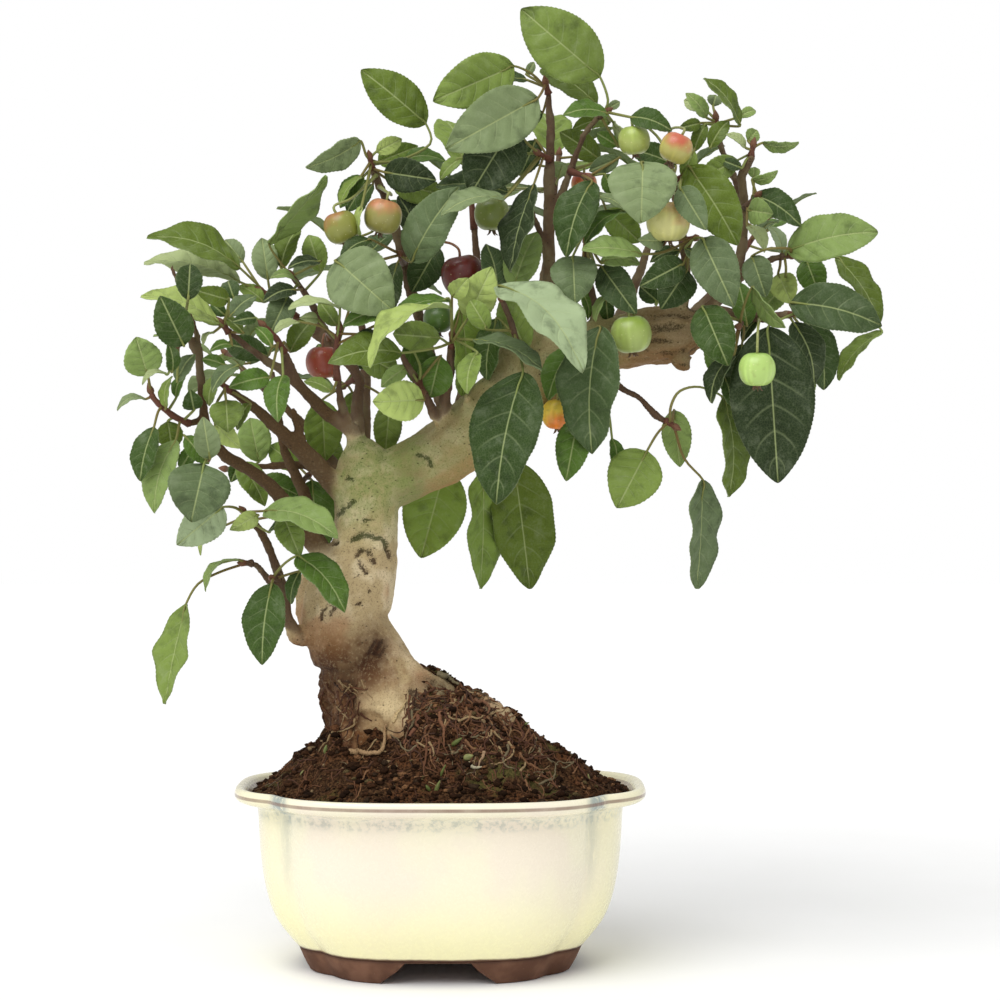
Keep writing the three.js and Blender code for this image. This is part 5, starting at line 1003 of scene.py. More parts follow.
def grow_shoot(node, twig, leaves, draw):
    """One shoot as two pieces, its leaves and its twig, in place of its solid."""
    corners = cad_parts[node].data.vertices
    tree = kdtree.KDTree(len(corners))
    for i, corner in enumerate(corners):
        tree.insert(corner.co / MM, i)
    tree.balance()
    foot = on_wood(twig[0])
    route = curve_through([foot, *[p for p in twig[1:] if np.linalg.norm(p - foot) > 1.5]], 4)
    if len(twig) == 1 or len(route) < 3:
        route = np.array([foot, foot + unit(twig[-1] - foot) * 3])
    targets = [leaf["stalk"][0] if leaf["stalk"] else leaf["base"] for leaf in leaves]
    foliage, stem = Shape(), Shape()
    for leaf, start in zip(leaves, stalk_starts(route, targets)):
        for swing in SWINGS:
            moved = [p + unit(p - POT_FOOT - EYE) * swing for p in (leaf["base"], leaf["tip"])]
            seen = [tree.find(Vector(moved[1] + leaf["face"] * half))[2] for half in (0.35, -0.35)]
            if max(seen) < TOUCHING:
                break
        else:
            if np.linalg.norm(leaf["tip"] - leaf["base"]) > LEAST_BLADE:
                continue
            moved = [leaf["base"], leaf["tip"]]
        leaf["base"], leaf["tip"] = moved
        grow_leaf(foliage, leaf, [start, *leaf["stalk"]], draw)
        way = unit((leaf["stalk"] or [leaf["base"]])[0] - start)
        add_bud(stem, start - way * 0.6, way, *LEAF_BUD, BUD_BROWN)
    thickness = np.linspace(TWIG_THICK, TWIG_THIN, len(route))
    thickness *= 1 + 0.1 * np.sin(np.arange(len(route)) * 2.1)
    thickness[0] = TWIG_FLARE
    stem.add(*tube(route, thickness, 9), tone=draw.choice([TWIG_BROWN, TWIG_RED]))
    way = unit(route[-1] - route[-2])
    add_bud(stem, route[-1] - way * 0.8, way, *END_BUD, BUD_BROWN)
    short = node.replace("spray_", "").replace("_spray", "")
    foliage.piece("leaves_" + short, leaf_finish, "leaf", node)
    stem.piece("twig_" + short, twig_finish, "twig", node)


# Each shoot: the places its twig passes, and its leaves. A leaf's row is its tone, base across and
# down, tip across and down, width shown (below 0 where it shows its underside), depth at its base,
# depth gained to its tip, and arch, and then the places that its stalk passes.
SHOOTS = {
    "left_arch": ([(295, 316, 12), (280, 302, 8), (262, 291, 4)], [
        ("olive", 240, 268, 147, 237, 30, -2, -10, 6), ("pale", 240, 282, 144, 263, 26, 2, 4, 5),
        ("grey", 243, 262, 225, 240, 20, 12, 6, 2), ("grey", 268, 280, 262, 238, 26, 6, 4, 3),
        ("light_olive", 264, 302, 238, 286, 15, 1, 4, 2)]),
    "left_peak": ([(313, 305, 8), (304, 292, 4), (292, 276, 0)], [
        ("light", 269, 244, 327, 176, -21, -2, -8, 1, (280, 262, 0)),
        ("olive", 281, 268, 301, 226, 20, 4, 6, 3), ("light_olive", 321, 272, 309, 235, 24, 10, 6, 3),
        ("very_dark", 320, 262, 288, 268, 12, -6, -6, 2), ("light", 296, 281, 270, 278, 9, -4, -6, 3),
        ("very_dark", 296, 290, 263, 302, 17, -8, -8, 3),
        ("blue_grey", 288, 296, 268, 337, 27, -12, -8, 4)]),
    "left_inner": ([(283, 349, -24), (276, 338, -28), (264, 326, -32)], [
        ("dark", 256, 318, 232, 322, 14, -34, -6, 2),
        ("mid", 270, 377, 229, 387, 22, -34, -6, 3, (276, 352, -32)),
        ("mid_dark", 268, 356, 226, 344, 26, -20, 8, 3, (272, 348, -26)),
        ("mid", 283, 375, 278, 422, 25, -36, -8, 4, (282, 356, -32)),
        ("olive", 290, 352, 316, 318, 22, -10, 6, 3, (284, 342, -22)),
        ("mid", 272, 346, 255, 327, 13, -36, 2, 2)]),
    "left_bud": ([(226, 330, -31), (222, 324, -32)], [
        ("yellow", 219, 323, 141, 296, 22, -34, -10, 4), ("yellow", 219, 325, 184, 318, 11, -28, 4, 2),
        ("olive", 229, 300, 195, 290, 20, -38, -8, 3), ("dark", 234, 299, 228, 281, 18, -26, 6, 2),
        ("blue_grey", 230, 317, 256, 296, 15, -30, 8, 2), ("mid", 232, 345, 210, 351, 10, -38, -5, 2),
        ("pale", 214, 332, 203, 345, 5, -36, -4, 2), ("mid_dark", 226, 316, 211, 303, 13, -30, 2, 2),
        ("olive", 243, 333, 226, 318, 12, -34, 2, 2)]),
    "left_edge": ([(180, 334, -42), (178, 344, -47)], [
        ("mid_dark", 184, 346, 160, 296, 38, -52, -6, 4), ("dark", 188, 300, 190, 264, 26, -38, 6, 3),
        ("mid_dark", 172, 372, 168, 342, 15, -50, -6, 2, (176, 358, -49)),
        ("blue_grey", 177, 382, 195, 354, 15, -44, 4, 2, (178, 362, -46)),
        ("pale", 168, 374, 142, 384, 6, -52, -5, 3, (174, 360, -50))]),
    "left_spur": ([(187, 424, -32), (172, 415, -36), (155, 400, -38), (151, 392, -38)], [
        ("light", 148, 376, 136, 337, 38, -42, -4, 3), ("grey", 146, 399, 117, 410, 8, -38, -4, 3),
        ("mid_dark", 154, 427, 140, 481, 25, -42, -4, 2, (158, 412, -42)),
        ("olive", 168, 421, 172, 450, 26, -32, 2, 2), ("light", 176, 440, 154, 513, 31, -38, -6, 4),
        ("mid_dark", 194, 410, 190, 390, 20, -38, -4, 2),
        ("light_olive", 166, 408, 172, 376, 8, -40, 2, 2), ("mid", 176, 398, 186, 374, 9, -36, 2, 2)]),
    "left_hollow": ([(227, 389, -34), (218, 381, -38)], [
        ("blue_grey", 238, 366, 212, 392, 15, -44, -6, 3),
        ("light_olive", 226, 400, 228, 432, 34, -42, -4, 3),
        ("yellow", 215, 425, 240, 448, 21, -36, -4, 3, (216, 405, -38)),
        ("light_olive", 216, 376, 209, 406, 14, -40, 2, 2), ("mid", 226, 366, 202, 359, 13, -38, 2, 2),
        ("olive", 250, 403, 237, 430, 13, -36, 2, 2)]),
    "left_broad": ([(212, 452, -34), (208, 458, -42)], [
        ("grey", 210, 459, 203, 417, 26, -50, -4, 3), ("mid", 185, 436, 209, 464, 20, -46, 3, 2),
        ("blue_grey", 204, 464, 191, 522, 62, -56, -6, 5), ("mid", 194, 446, 180, 470, 16, -38, 2, 2)]),
    "left_behind": ([(239, 472, 20), (226, 469, 23)], [
        ("light", 259, 462, 250, 418, 34, 14, 6, 4), ("mid", 262, 478, 300, 496, 26, 26, 4, 3),
        ("lime", 240, 462, 265, 506, 26, 8, -4, 3), ("mid_dark", 238, 465, 231, 482, 15, 16, -4, 2)]),
    "left_shade": ([(302, 484, 16), (308, 476, 20)], [
        ("mid", 312, 480, 318, 556, 44, 26, 4, 5), ("olive", 318, 470, 338, 440, 26, 24, 8, 3),
        ("lime", 300, 468, 270, 446, 26, 30, 8, 3)]),
    "left_wing": ([(251, 521, -17), (244, 512, -21)], [
        ("pale_blue", 223, 507, 177, 545, 39, -38, -8, 4, (236, 508, -30)),
        ("yellow", 226, 525, 200, 555, 7, -32, -4, 4), ("yellow", 258, 515, 230, 530, 18, -30, -6, 3),
        ("light", 264, 511, 338, 537, 30, -34, -12, 5),
        ("light_olive", 283, 515, 300, 557, 28, -26, -6, 4), ("dark", 268, 532, 298, 522, 7, -24, -4, 2)]),
    "left_dangle": ([(248, 562, -18), (244, 563, -21)], [
        ("light_olive", 186, 604, 164, 704, 29, -30, -6, 1, (220, 572, -24), (198, 584, -28)),
        ("light", 240, 560, 205, 591, 5, -24, -6, 5)]),
    "left_foot": ([(276, 580, -21), (272, 578, -26)], [
        ("mid_dark", 272, 583, 262, 665, 41, -34, -6, 4),
        ("mid", 297, 556, 345, 612, 32, -34, -8, 5, (284, 564, -31)),
        ("mid_dark", 300, 571, 291, 604, 14, -22, 2, 2)]),
    "crest_left": ([(371, 166, -4), (370, 158, -7)], [
        ("grey", 361, 141, 306, 168, -25, -12, -6, 2, (366, 155, -9)),
        ("lime", 378, 162, 418, 146, -24, -10, -4, 3), ("light_olive", 392, 182, 446, 196, 30, 14, 4, 3),
        ("mid", 403, 160, 448, 163, 13, -2, 2, 3), ("very_dark", 384, 172, 436, 180, 34, 2, -4, 3),
        ("mid", 364, 176, 340, 208, 18, 4, 4, 3), ("mid_dark", 368, 180, 347, 212, 20, 12, 4, 3),
        ("light_olive", 361, 176, 340, 206, 10, -14, -4, 2),
        ("olive", 426, 124, 361, 70, 43, -8, -4, 4, (400, 160, -8), (430, 144, -9)),
        ("mid_dark", 373, 184, 359, 214, 14, 2, 4, 2), ("yellow", 362, 205, 361, 238, 8, -27, 2, 2),
        ("yellow", 376, 152, 402, 139, 17, -8, 2, 2)]),
    "shoulder_left": ([(405, 264, 0), (400, 254, -8)], [
        ("blue_grey", 411, 262, 459, 187, 44, -16, -8, 5), ("dark", 438, 246, 412, 292, 34, 2, 4, 3),
        ("very_dark", 420, 250, 398, 196, 26, 14, 4, 3),
        ("grey", 336, 260, 394, 312, 66, -38, -8, 6, (368, 262, -30)),
        ("dark", 372, 240, 340, 260, 15, -26, -4, 3), ("dark", 398, 262, 390, 312, 24, -2, 6, 3)]),
    "crown_left": ([(337, 376, -21), (336, 352, -24), (339, 330, -25)], [
        ("grey", 352, 300, 334, 297, 12, -26, -4, 2), ("pale", 340, 308, 288, 309, 7, -28, -6, 3),
        ("mid", 398, 314, 343, 326, 21, -34, -4, 4),
        ("light_olive", 360, 352, 398, 374, 30, -12, 6, 3, (348, 346, -20)),
        ("pale", 318, 320, 300, 318, 11, -24, -6, 2),
        ("pale", 300, 322, 274, 333, 9, -20, -6, 2, (320, 326, -24)),
        ("very_dark", 378, 335, 350, 345, 20, -30, -4, 2),
        ("light_olive", 337, 326, 319, 301, 17, -22, 2, 2),
        ("light_olive", 332, 392, 304, 381, 13, -26, 2, 2)]),
    "crown_under": ([(352, 384, 14), (344, 386, 20)], [
        ("lime", 322, 400, 325, 461, 38, 24, 4, 4), ("light_olive", 352, 392, 350, 432, 22, 26, 4, 3),
        ("mid", 332, 376, 318, 344, 22, 26, 6, 3), ("dark", 356, 368, 380, 336, 26, 26, 6, 3),
        ("light_olive", 390, 402, 385, 455, 28, 18, 2, 4, (370, 388, 24))]),
    "crotch_round": ([(417, 388, -24), (422, 392, -29)], [
        ("yellow", 424, 400, 373, 402, 40, -36, -6, 3), ("mid", 440, 356, 430, 398, 36, -22, 6, 3),
        ("mid", 408, 340, 436, 394, 34, -8, 6, 3, (420, 366, -20)),
        ("light", 408, 367, 381, 387, 17, -20, 3, 2)]),
    "crotch_bud": ([(452, 343, -17), (452, 336, -21)], [
        ("yellow", 450, 307, 369, 367, 17, -44, -12, 9, (452, 320, -32)),
        ("yellow", 468, 318, 492, 267, -38, -40, -6, 5, (460, 330, -32)),
        ("olive", 402, 353, 328, 363, 32, -34, -6, 5, (436, 348, -28)),
        ("mid", 450, 301, 393, 316, 13, -30, -4, 3), ("yellow", 452, 297, 468, 278, 20, -26, -4, 2),
        ("blue_grey", 473, 340, 542, 370, 15, -34, -10, 4),
        ("light_olive", 477, 352, 467, 394, 21, -36, -6, 3, (464, 344, -30)),
        ("lime", 460, 308, 462, 396, 30, -12, 6, 3, (457, 322, -16)),
        ("light_olive", 440, 338, 393, 334, 30, -14, 6, 3)]),
    "limb_front": ([(516, 350, -22), (511, 322, -30), (502, 300, -34)], [
        ("pale_blue", 498, 286, 583, 372, 46, -40, -22, 9),
        ("light_olive", 526, 350, 502, 297, 34, -32, 2, 3),
        ("light", 513, 290, 537, 232, 34, -12, 8, 4, (505, 298, -24)),
        ("dark", 523, 372, 496, 504, 68, -44, -12, 6, (520, 356, -34)),
        ("mid_dark", 498, 318, 487, 380, 26, -16, 6, 3), ("blue", 498, 294, 486, 244, 26, -6, 6, 3),
        ("light_olive", 488, 330, 470, 300, 22, -24, 4, 3)]),
    "leader_top": ([(548, 90, -4), (546, 84, -6)], [
        ("light_olive", 514, 66, 433, 101, 51, -10, -6, 5, (532, 74, -8)),
        ("dark", 527, 80, 480, 88, 13, 2, 4, 3), ("grey", 527, 75, 534, 62, 9, -2, 2, 1),
        ("grey", 538, 98, 446, 149, 58, -18, -10, 6), ("dark", 543, 112, 512, 125, 19, 4, 4, 3)]),
    "leader_side": ([(544, 158, -9), (538, 153, -13)], [
        ("very_dark", 512, 127, 470, 195, 62, -22, -4, 5, (530, 146, -18)),
        ("very_dark", 534, 184, 510, 272, 28, -22, -8, 2), ("grey", 505, 198, 441, 215, 17, -28, -6, 4),
        ("blue", 508, 192, 436, 186, 27, -10, 2, 3), ("dark", 536, 140, 520, 176, 24, 10, 4, 3),
        ("light_olive", 462, 158, 440, 180, 13, -12, 2, 2)]),
    "summit": ([(601, 114, -7), (606, 112, -9)], [
        ("light_olive", 600, 77, 521, 9, 62, -12, -4, 7, (608, 100, -11)),
        ("olive", 597, 105, 540, 70, 28, 2, 4, 4), ("mid", 608, 114, 563, 115, 17, -16, -6, 3),
        ("olive", 610, 122, 572, 130, 17, -10, -4, 3), ("grey", 608, 108, 620, 102, 9, -4, 2, 1),
        ("pale", 613, 122, 645, 148, -15, -22, -6, 3), ("mid_dark", 630, 117, 672, 131, 20, -6, -4, 3),
        ("mid", 618, 146, 597, 133, 15, -4, 3, 2)]),
    "inner_fan": ([(580, 174, -10), (588, 177, -15)], [
        ("dark", 592, 181, 566, 257, 40, -28, -6, 5), ("grey", 596, 197, 625, 210, 9, -22, -6, 2),
        ("mid", 604, 174, 618, 196, 18, -14, 4, 2), ("olive", 600, 160, 560, 132, 26, 4, 4, 3),
        ("lime", 606, 210, 640, 242, 30, 2, 4, 3, (600, 196, -6)),
        ("blue_grey", 619, 158, 589, 171, 18, -12, 3, 2)]),
    "inner_low": ([(586, 238, -9), (585, 230, -12)], [
        ("blue_grey", 573, 256, 575, 304, 46, -26, -8, 4),
        ("blue", 601, 266, 636, 314, 34, -22, -8, 4, (590, 262, -18)),
        ("light", 610, 293, 595, 321, 9, -22, -4, 2, (596, 268, -18)),
        ("light", 600, 262, 640, 264, 16, -10, 4, 3), ("mid_dark", 606, 300, 608, 322, 15, -6, 2, 2),
        ("mid", 580, 290, 588, 320, 10, -8, 2, 2)]),
    "right_fan": ([(673, 182, -14), (684, 176, -18)], [
        ("grey", 643, 162, 641, 223, 68, -40, -6, 6, (668, 174, -30)),
        ("olive", 688, 166, 738, 245, 48, -20, -2, 5), ("blue_grey", 680, 187, 706, 230, 28, -30, -6, 4),
        ("mid_dark", 676, 166, 630, 150, 24, 2, 4, 3), ("light_olive", 694, 150, 682, 178, 16, -20, 3, 2)]),
    "right_heart": ([(690, 240, -20), (695, 238, -25)], [
        ("blue_grey", 702, 238, 734, 307, 46, -36, -8, 5), ("dark", 684, 263, 640, 286, 30, -34, -6, 4),
        ("dark", 687, 270, 661, 309, 38, -24, -4, 4), ("grey", 664, 241, 638, 240, 19, -30, -6, 3),
        ("light", 642, 254, 582, 249, 20, -34, -4, 2, (664, 252, -32)),
        ("blue", 685, 248, 712, 291, 17, -28, -4, 4),
        ("mid", 626, 211, 585, 245, 15, -24, -4, 4, (660, 222, -25)),
        ("dark", 680, 250, 650, 262, 13, -20, 2, 2), ("dark", 658, 302, 640, 286, 18, -16, 3, 2)]),
    "right_bud": ([(750, 208, -6), (757, 196, -9)], [
        ("dark", 753, 195, 801, 226, 27, -6, -6, 4), ("light", 748, 210, 773, 214, 27, -16, -4, 3),
        ("pale", 747, 226, 765, 252, 12, -8, -4, 3), ("light", 752, 180, 778, 171, -11, -10, -2, 2),
        ("light", 754, 178, 754, 167, -12, -2, 2, 1)]),
    "right_tip": ([(753, 152, -6), (753, 146, -7)], [
        ("light", 762, 143, 799, 143, -12, -8, -2, 2), ("light", 748, 141, 757, 130, 15, -4, 2, 1),
        ("pale", 746, 148, 726, 134, 9, -8, -2, 2),
        ("blue", 742, 168, 722, 160, 12, -8, 2, 2, (746, 160, -7)),
        ("light_olive", 738, 160, 700, 178, 24, 6, 4, 3, (746, 156, 0))]),
    "right_crest": ([(716, 126, 8), (716, 119, 7)], [
        ("olive", 740, 126, 704, 78, 14, -2, -4, 3, (728, 126, 2)),
        ("light", 707, 118, 686, 93, 15, 4, -2, 2), ("pale", 704, 108, 684, 100, 14, 10, 4, 2),
        ("grey", 713, 106, 716, 95, 15, 10, 2, 1), ("olive", 701, 123, 679, 128, 13, 2, -2, 2),
        ("light", 739, 117, 756, 111, 10, 10, 3, 2),
        ("olive", 710, 148, 729, 121, 17, -4, 2, 3, (710, 134, 0)),
        ("olive", 706, 124, 694, 152, 15, 2, 3, 2)]),
    "right_wing": ([(784, 256, -4), (790, 256, -5)], [
        ("light", 787, 251, 878, 232, 45, -8, -4, 6),
        ("olive", 836, 257, 880, 323, 24, 12, -2, 3, (806, 257, 4)),
        ("blue_grey", 752, 256, 766, 297, 30, -22, -4, 4, (790, 249, -12), (768, 249, -19)),
        ("pale_blue", 782, 254, 768, 226, 13, -2, 2, 3), ("mid", 806, 259, 820, 296, 30, 6, -2, 4),
        ("yellow", 778, 274, 792, 304, 28, 4, -4, 3, (780, 266, 2)),
        ("light", 784, 286, 756, 316, 24, -8, -4, 3, (786, 270, -6))]),
    "right_skirt": ([(792, 314, -18), (797, 313, -21)], [
        ("blue", 790, 303, 882, 326, 46, -26, -4, 7),
        ("very_dark", 768, 327, 778, 483, 84, -30, -4, 1, (784, 318, -26)),
        ("very_dark", 793, 322, 814, 386, 30, -16, 2, 5), ("dark", 806, 320, 824, 390, 34, -10, 4, 6),
        ("light_olive", 814, 376, 798, 454, 28, 2, 0, 5, (806, 336, -6)),
        ("light_olive", 882, 331, 838, 380, 15, 4, 4, 3, (836, 316, -6), (866, 318, 0))]),
    "right_knee": ([(744, 323, -21), (739, 326, -26)], [
        ("mid_dark", 703, 306, 728, 366, 42, -38, -6, 5, (722, 314, -32)),
        ("mid", 708, 342, 715, 378, 18, -24, 2, 3), ("very_dark", 734, 355, 711, 403, 19, -30, -2, 4),
        ("very_dark", 742, 344, 740, 396, 34, -14, 4, 4, (744, 332, -18)),
        ("light", 752, 287, 785, 328, -14, -32, -4, 2, (744, 306, -30)),
        ("mid", 747, 326, 738, 282, 24, -10, 4, 3), ("mid_dark", 724, 376, 731, 406, 15, -26, 2, 2),
        ("dark", 757, 320, 742, 342, 12, -14, 2, 2)]),
    "hanging_shoot": ([(669, 423, -16), (674, 426, -18)], [
        ("light_olive", 647, 451, 617, 508, 54, -24, -4, 4, (657, 434, -20)),
        ("light", 674, 410, 680, 467, 30, -24, -2, 3),
        ("olive", 723, 397, 729, 497, 29, -20, 2, 4, (671, 406, -24), (680, 391, -24), (700, 387, -22)),
        ("blue_grey", 703, 480, 697, 589, -30, -12, 0, 1, (684, 458, -12))]),
    "limb_curtain": ([(588, 330, -20), (582, 338, -30)], [
        ("blue", 600, 326, 592, 454, 60, -36, -4, 6), ("mid", 574, 346, 548, 400, 28, -22, -2, 4),
        ("mid", 578, 418, 566, 481, 34, -30, -4, 4, (572, 372, -28), (582, 402, -28)),
        ("mid", 612, 438, 612, 470, 13, -22, 2, 3, (606, 400, -24)),
        ("very_dark", 578, 350, 582, 412, 26, -18, 2, 4)]),
    "limb_hanging": ([(482, 464, 28), (488, 470, 31), (512, 470, 33)], [
        ("lime", 445, 468, 421, 558, 63, 18, -2, 3), ("lime", 484, 468, 481, 589, -38, 28, 2, 1),
        ("olive", 514, 462, 530, 589, 63, 36, 2, 1)])}
for order, (name, (twig, rows)) in enumerate(SHOOTS.items()):
    leaves = []
    for tone, x1, y1, x2, y2, shown, depth, gain, arch, *stalk in rows:
        base, tip = place((x1, y1, depth)), place((x2, y2, depth + gain))
        width, face = blade_of(base, tip, shown * SQUARE * (1 - depth / EYE[1]))
        leaves.append({"base": base, "tip": tip, "width": width, "face": face, "arch": arch,
                       "stalk": [place(spot) for spot in stalk], "tone": LEAF_TONES[tone]})
    grow_shoot("spray_" + name, [place(spot) for spot in twig], leaves, random.Random(order))

# The shoots at the back of the crown: the last two places of the branch, then how many leaves, set
# a golden angle apart, and their size.
GOLDEN_ANGLE = 2.39996
BACK_TWIG = 27
BACK_STALK = 9
BACK_TONES = ["mid", "mid_dark", "dark", "olive", "blue", "light_olive"]
BACK_SHOOTS = {
    "left": ((304, 425, 40), (268, 392, 48), 6, 32), "crown": ((366, 380, 42), (360, 300, 48), 6, 34),
    "middle": ((480, 290, 42), (474, 228, 46), 7, 36), "leader": ((545, 275, 38), (552, 215, 44), 7, 35),
    "right": ((640, 272, 36), (652, 235, 42), 6, 34), "far_right": ((720, 285, 34), (736, 262, 40), 6, 27)}
for order, (name, (before, end, count, size)) in enumerate(BACK_SHOOTS.items()):
    draw = random.Random(100 + order)
    way = unit(place(end) - place(before))
    foot, tip = place(end) + way * 2, place(end) + way * BACK_TWIG
    leaves = []
    for i in range(count):
        along = (i + 0.6) / count
        out = unit(np.array([math.cos(i * GOLDEN_ANGLE), math.sin(i * GOLDEN_ANGLE), 0]) + way * 0.45)
        base = foot + (tip - foot) * along + out * BACK_STALK
        length = size * (0.8 + 0.25 * math.sin(i * 2.3))
        rib = unit(out + (0, 0, 1.1 * along - 0.7))
        face = unit(np.array([0, 0, 1]) - rib * rib[2])
        leaves.append({"base": base, "tip": base + rib * length, "width": LEAF_RATIO * length, "face": face,
                       "arch": 0.12 * length, "stalk": [], "tone": LEAF_TONES[draw.choice(BACK_TONES)]})
    grow_shoot(f"back_{name}_spray", [foot, tip], leaves, draw)

# ---- Crabapples ----
# Small firm fruit with a waxy skin, each hung on a thin stalk from a branch. A dried brown calyx of
# five sepals is left at its lower end, and the side that had the sun is blushed.
APPLE_TALL = 0.94
APPLE_SIDES = 40
SEPALS = 5
SEPAL_TONE, CALYX_TONE = colour(96, 68, 42), colour(104, 86, 46)
RED_STALK, GREEN_STALK = colour(132, 84, 54), colour(144, 150, 84)
APPLE_OUTLINE = [(0.012, 0.36), (0.05, 0.38), (0.1, 0.425), (0.17, 0.455), (0.25, 0.445), (0.34, 0.395),
                 (0.42, 0.305), (0.472, 0.19), (0.497, 0.06), (0.497, -0.07), (0.472, -0.2), (0.42, -0.32),
                 (0.34, -0.41), (0.25, -0.46), (0.17, -0.475), (0.11, -0.465), (0.06, -0.44)]
fruit = Finish("fruit_skin", {"Specular IOR Level": 0.5, "Coat Weight": 0.25, "Coat Roughness": 0.2})
freckle = fruit.node("TexVoronoi", {}, {"Vector": fruit.place(), "Scale": 520.0}).step(0.16, 0.08)
haze = fruit.grain(3, 3)
skin = fruit.coats(fruit.read("tone"), ((232, 226, 170), freckle * 0.35),
                   ((120, 110, 52), haze.step(0.55, 0.75) * 0.22))
fruit.wear(colour=skin, roughness=0.3 + 0.2 * haze, relief=fruit.bump(freckle * 0.5 + haze, 0.06))
# Middle, width in squares, lean, where the stalk leaves the wood and passes, the ground colour, the
# blush, which side it is on (right, back, up), how far it spreads, and the record's slot.
APPLES = {
    "blushed_left": ((341, 227, -24), 35, 0.3, [(370, 178, -10), (352, 198, -20)],
                     (138, 140, 60), (166, 96, 58), (-0.7, -0.3, 0.65), 0.12, "fruit_blushed"),
    "peach": ((383, 216, -22), 38, -0.25, [(389, 184, -8), (391, 195, -16)],
              (150, 144, 76), (184, 122, 80), (0.2, -0.4, 0.9), 0.3, "fruit_blushed"),
    "maroon": ((463, 275, -8), 44, 0.2, [(414, 248, 2), (440, 242, -2)],
               (84, 34, 22), (96, 26, 18), (0, -0.6, 0.4), 0.7, "fruit_red"),
    "dull_red": ((323, 362, -5), 35, 0, [(326, 340, 2), (325, 334, -3)],
                 (168, 96, 62), (144, 60, 38), (0, -0.6, 0.2), 0.7, "fruit_red"),
    "green_limb": ((631, 334, -28), 41, 0.1, [(632, 306, -14), (633, 303, -22)],
                   (158, 176, 92), (142, 166, 70), (0, -0.4, 0.8), 0.3, "fruit_green"),
    "pale_hanging": ((757, 369, -52), 37, 0, [(758, 322, -26), (758, 328, -48)],
                     (176, 206, 112), (150, 188, 84), (0, 0.2, 0.9), 0.25, "fruit_green"),
    "blushed_right": ((676, 148, -28), 33, -0.4, [(668, 150, -10), (670, 130, -16)],
                      (184, 176, 96), (194, 98, 68), (0.2, -0.5, 0.8), 0.4, "fruit_blushed"),
    "yellow_green": ((634, 140, -20), 32, 0.1, [(672, 172, -13), (660, 140, 0), (640, 122, -10)],
                     (172, 184, 96), (150, 170, 76), (0, -0.4, 0.8), 0.3, "fruit_green"),
    "golden": ((668, 221, -34), 44, 0, [(677, 198, -22), (675, 194, -28)],
               (200, 196, 124), (196, 142, 92), (0.6, -0.4, 0.6), 0.12, "fruit_blushed"),
    "orange": ((558, 414, -14), 33, 0, [(560, 396, -8), (559, 393, -12)],
               (240, 206, 78), (232, 132, 48), (0.2, -0.4, -0.9), 0.5, "fruit_orange"),
    "small_orange": ((584, 184, 4), 26, 0, [(576, 172, 0), (582, 166, 3)],
                     (196, 142, 66), (186, 84, 52), (0, -0.5, 0.6), 0.5, "fruit_orange"),
    "olive": ((492, 214, 6), 36, 0, [(538, 190, 0), (505, 188, 3)],
              (128, 142, 66), (112, 126, 56), (0, -0.4, 0.8), 0.3, "fruit_green"),
    "dark_green": ((438, 319, -4), 30, 0, [(426, 306, 6), (434, 298, 0)],
                   (88, 118, 52), (74, 102, 46), (0, -0.4, 0.8), 0.3, "fruit_green")}
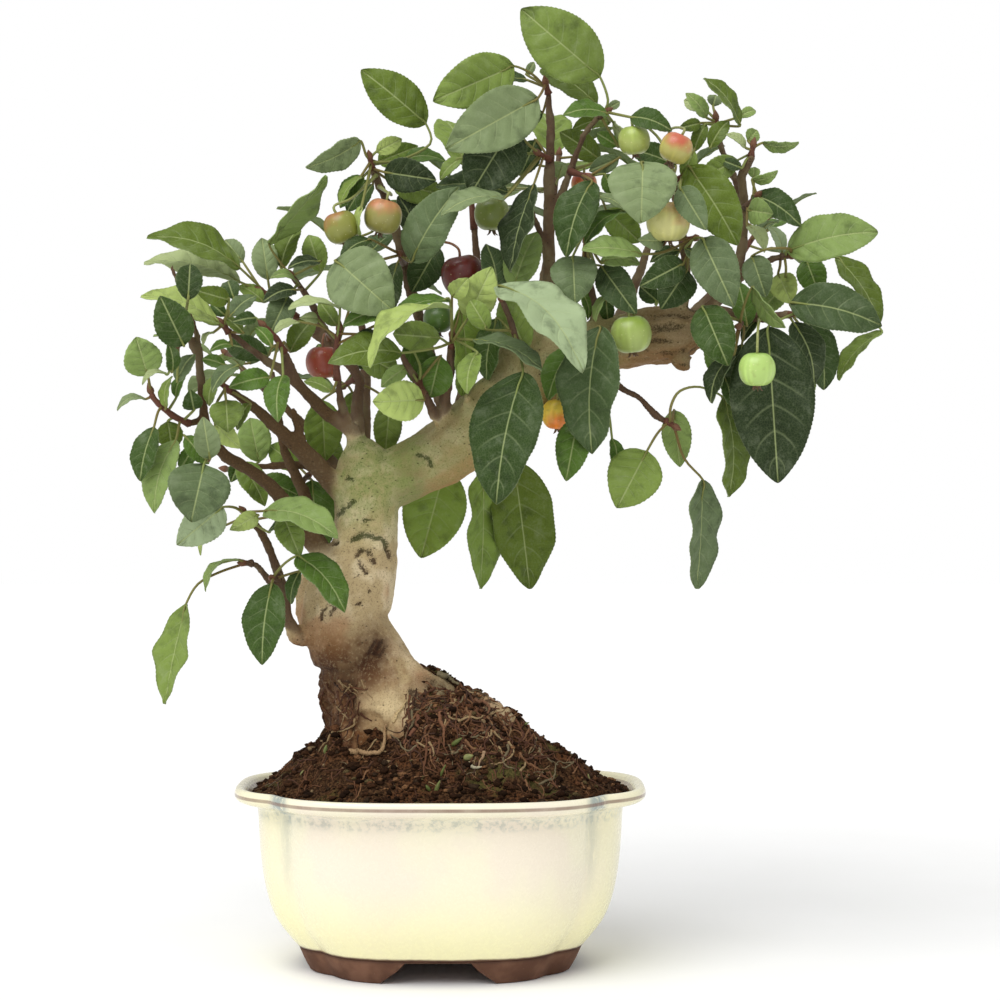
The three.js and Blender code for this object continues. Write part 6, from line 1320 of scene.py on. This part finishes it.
for order, (name, row) in enumerate(APPLES.items()):
    middle, size, lean, stalk, ground, blush, cheek, spread, slot = row
    draw = random.Random(200 + order)
    centre = place(middle)
    width = size * SQUARE * (1 - middle[2] / EYE[1])
    axis = unit(np.array([-math.sin(lean), -0.12, math.cos(lean)]))
    east = unit(np.cross([0, 1, 0], axis))
    north = np.cross(axis, east)
    apple = Shape()
    angles = -2 * np.pi * np.arange(APPLE_SIDES) / APPLE_SIDES
    rings = []
    for reach, height in curve_through([(r, h, 0) for r, h in APPLE_OUTLINE], 2)[:, :2]:
        lobes = 1 + 0.012 * np.cos(5 * angles) * (1 if height < 0 else 0.4)
        ring = np.outer(np.cos(angles), east) + np.outer(np.sin(angles), north)
        rings.append(centre + width * (reach * lobes[:, None] * ring + height * APPLE_TALL * axis))
    points, faces = loft(rings)
    outward = (points - centre) / width * 2
    sunny = outward @ unit(np.array(cheek)) + 0.35 * np.array([lumps(p, 5) for p in points])
    share = np.clip((sunny - (0.55 - spread)) / 0.7, 0, 1)[:, None]
    tones = np.array(colour(*ground)) * (1 - share) + np.array(colour(*blush)) * share
    bearings = np.arctan2(outward @ north, outward @ east) * 3.2
    streaks = [abs(noise.noise(Vector((b, h, order)))) for b, h in zip(bearings, outward @ axis * 0.7)]
    tones = tones * (1 + 0.5 * np.clip(np.array(streaks) - 0.22, 0, 1))[:, None]
    apple.add(points, faces, tone=tones)
    # The calyx: a short tube with five dry sepals that curl outwards.
    end = centre - axis * width * APPLE_TALL * 0.44
    for k in range(SEPALS):
        turn = 2 * math.pi * (k + draw.uniform(-0.2, 0.2)) / SEPALS
        out = east * math.cos(turn) + north * math.sin(turn)
        reach = width * draw.uniform(0.13, 0.18)
        route = [end + out * width * 0.06, end - axis * reach * 0.7 + out * width * 0.09,
                 end - axis * reach * 1.05 + out * reach]
        apple.add(*tube(curve_through(route, 2), np.linspace(0.62, 0.14, 5), 5), tone=SEPAL_TONE)
    pit = [end + axis * 1.2, end - axis * width * 0.06]
    apple.add(*tube(pit, [width * 0.085, width * 0.07], 10), tone=CALYX_TONE)
    foot = on_wood(place(stalk[0]))
    top = centre + axis * width * APPLE_TALL * 0.35
    route = curve_through([foot, *[place(p) for p in stalk[1:]], top + axis * width * 0.3, top], 5)
    # The stalk flares where it leaves the wood, and a little where it meets the fruit.
    run = np.linspace(0, 9, len(route)), np.linspace(8, 0, len(route))
    radii = 0.52 + 0.5 * np.exp(-run[0]) + 0.12 * np.exp(-run[1])
    apple.add(*tube(route, radii, 7), tone=RED_STALK if slot == "fruit_red" else GREEN_STALK)
    apple.piece("crabapple_" + name, fruit, slot, "apple_" + name)

# ---- Studio ----
# A plain pale floor and soft light from above and to the left, as for a catalogue picture.
paint = Finish("floor_paint", {"Specular IOR Level": 0.1})
dust = paint.grain(60, 3)
paint.wear(colour=paint.mix((248, 248, 247), (252, 252, 252), dust), roughness=0.9 + 0.05 * dust)
floor = bpy.data.meshes.new("studio_floor")
floor.from_pydata([(-4, -4, 0), (4, -4, 0), (4, 4, 0), (-4, 4, 0)], [], [(0, 1, 2, 3)])
floor.materials.append(paint.material)
show("studio_floor", floor)

# The walls give soft light, and show plain white behind the tree.
world = bpy.data.worlds.new("studio")
world.use_nodes = True
nodes, links = world.node_tree.nodes, world.node_tree.links
ray, either = nodes.new("ShaderNodeLightPath"), nodes.new("ShaderNodeMixShader")
walls = [nodes["Background"], nodes.new("ShaderNodeBackground")]
for entry, (wall, strength) in enumerate(zip(walls, (0.66, 1.0)), 1):
    wall.inputs["Color"].default_value = (1, 1, 1, 1)
    wall.inputs["Strength"].default_value = strength
    links.new(wall.outputs[0], either.inputs[entry])
links.new(ray.outputs["Is Camera Ray"], either.inputs["Fac"])
links.new(either.outputs[0], nodes["World Output"].inputs["Surface"])
bpy.context.scene.world = world
bpy.context.scene.view_settings.view_transform = "Standard"

# The key is broad and far off, so its light falls evenly over the whole floor.
key = bpy.data.lights.new("key", "SUN")
key.energy, key.angle = 1.85, math.radians(48)
show("key", key).rotation_euler = Vector((-0.42, -0.66, 1.0)).to_track_quat("Z", "Y").to_euler()

LENS = 81
SENSOR = 36
camera = show("camera", bpy.data.cameras.new("camera"))
camera.data.lens, camera.data.sensor_width = LENS, SENSOR
camera.location = Vector((POT_FOOT + EYE) * MM)
camera.rotation_euler = (math.pi / 2, 0, 0)
bpy.context.scene.camera = camera
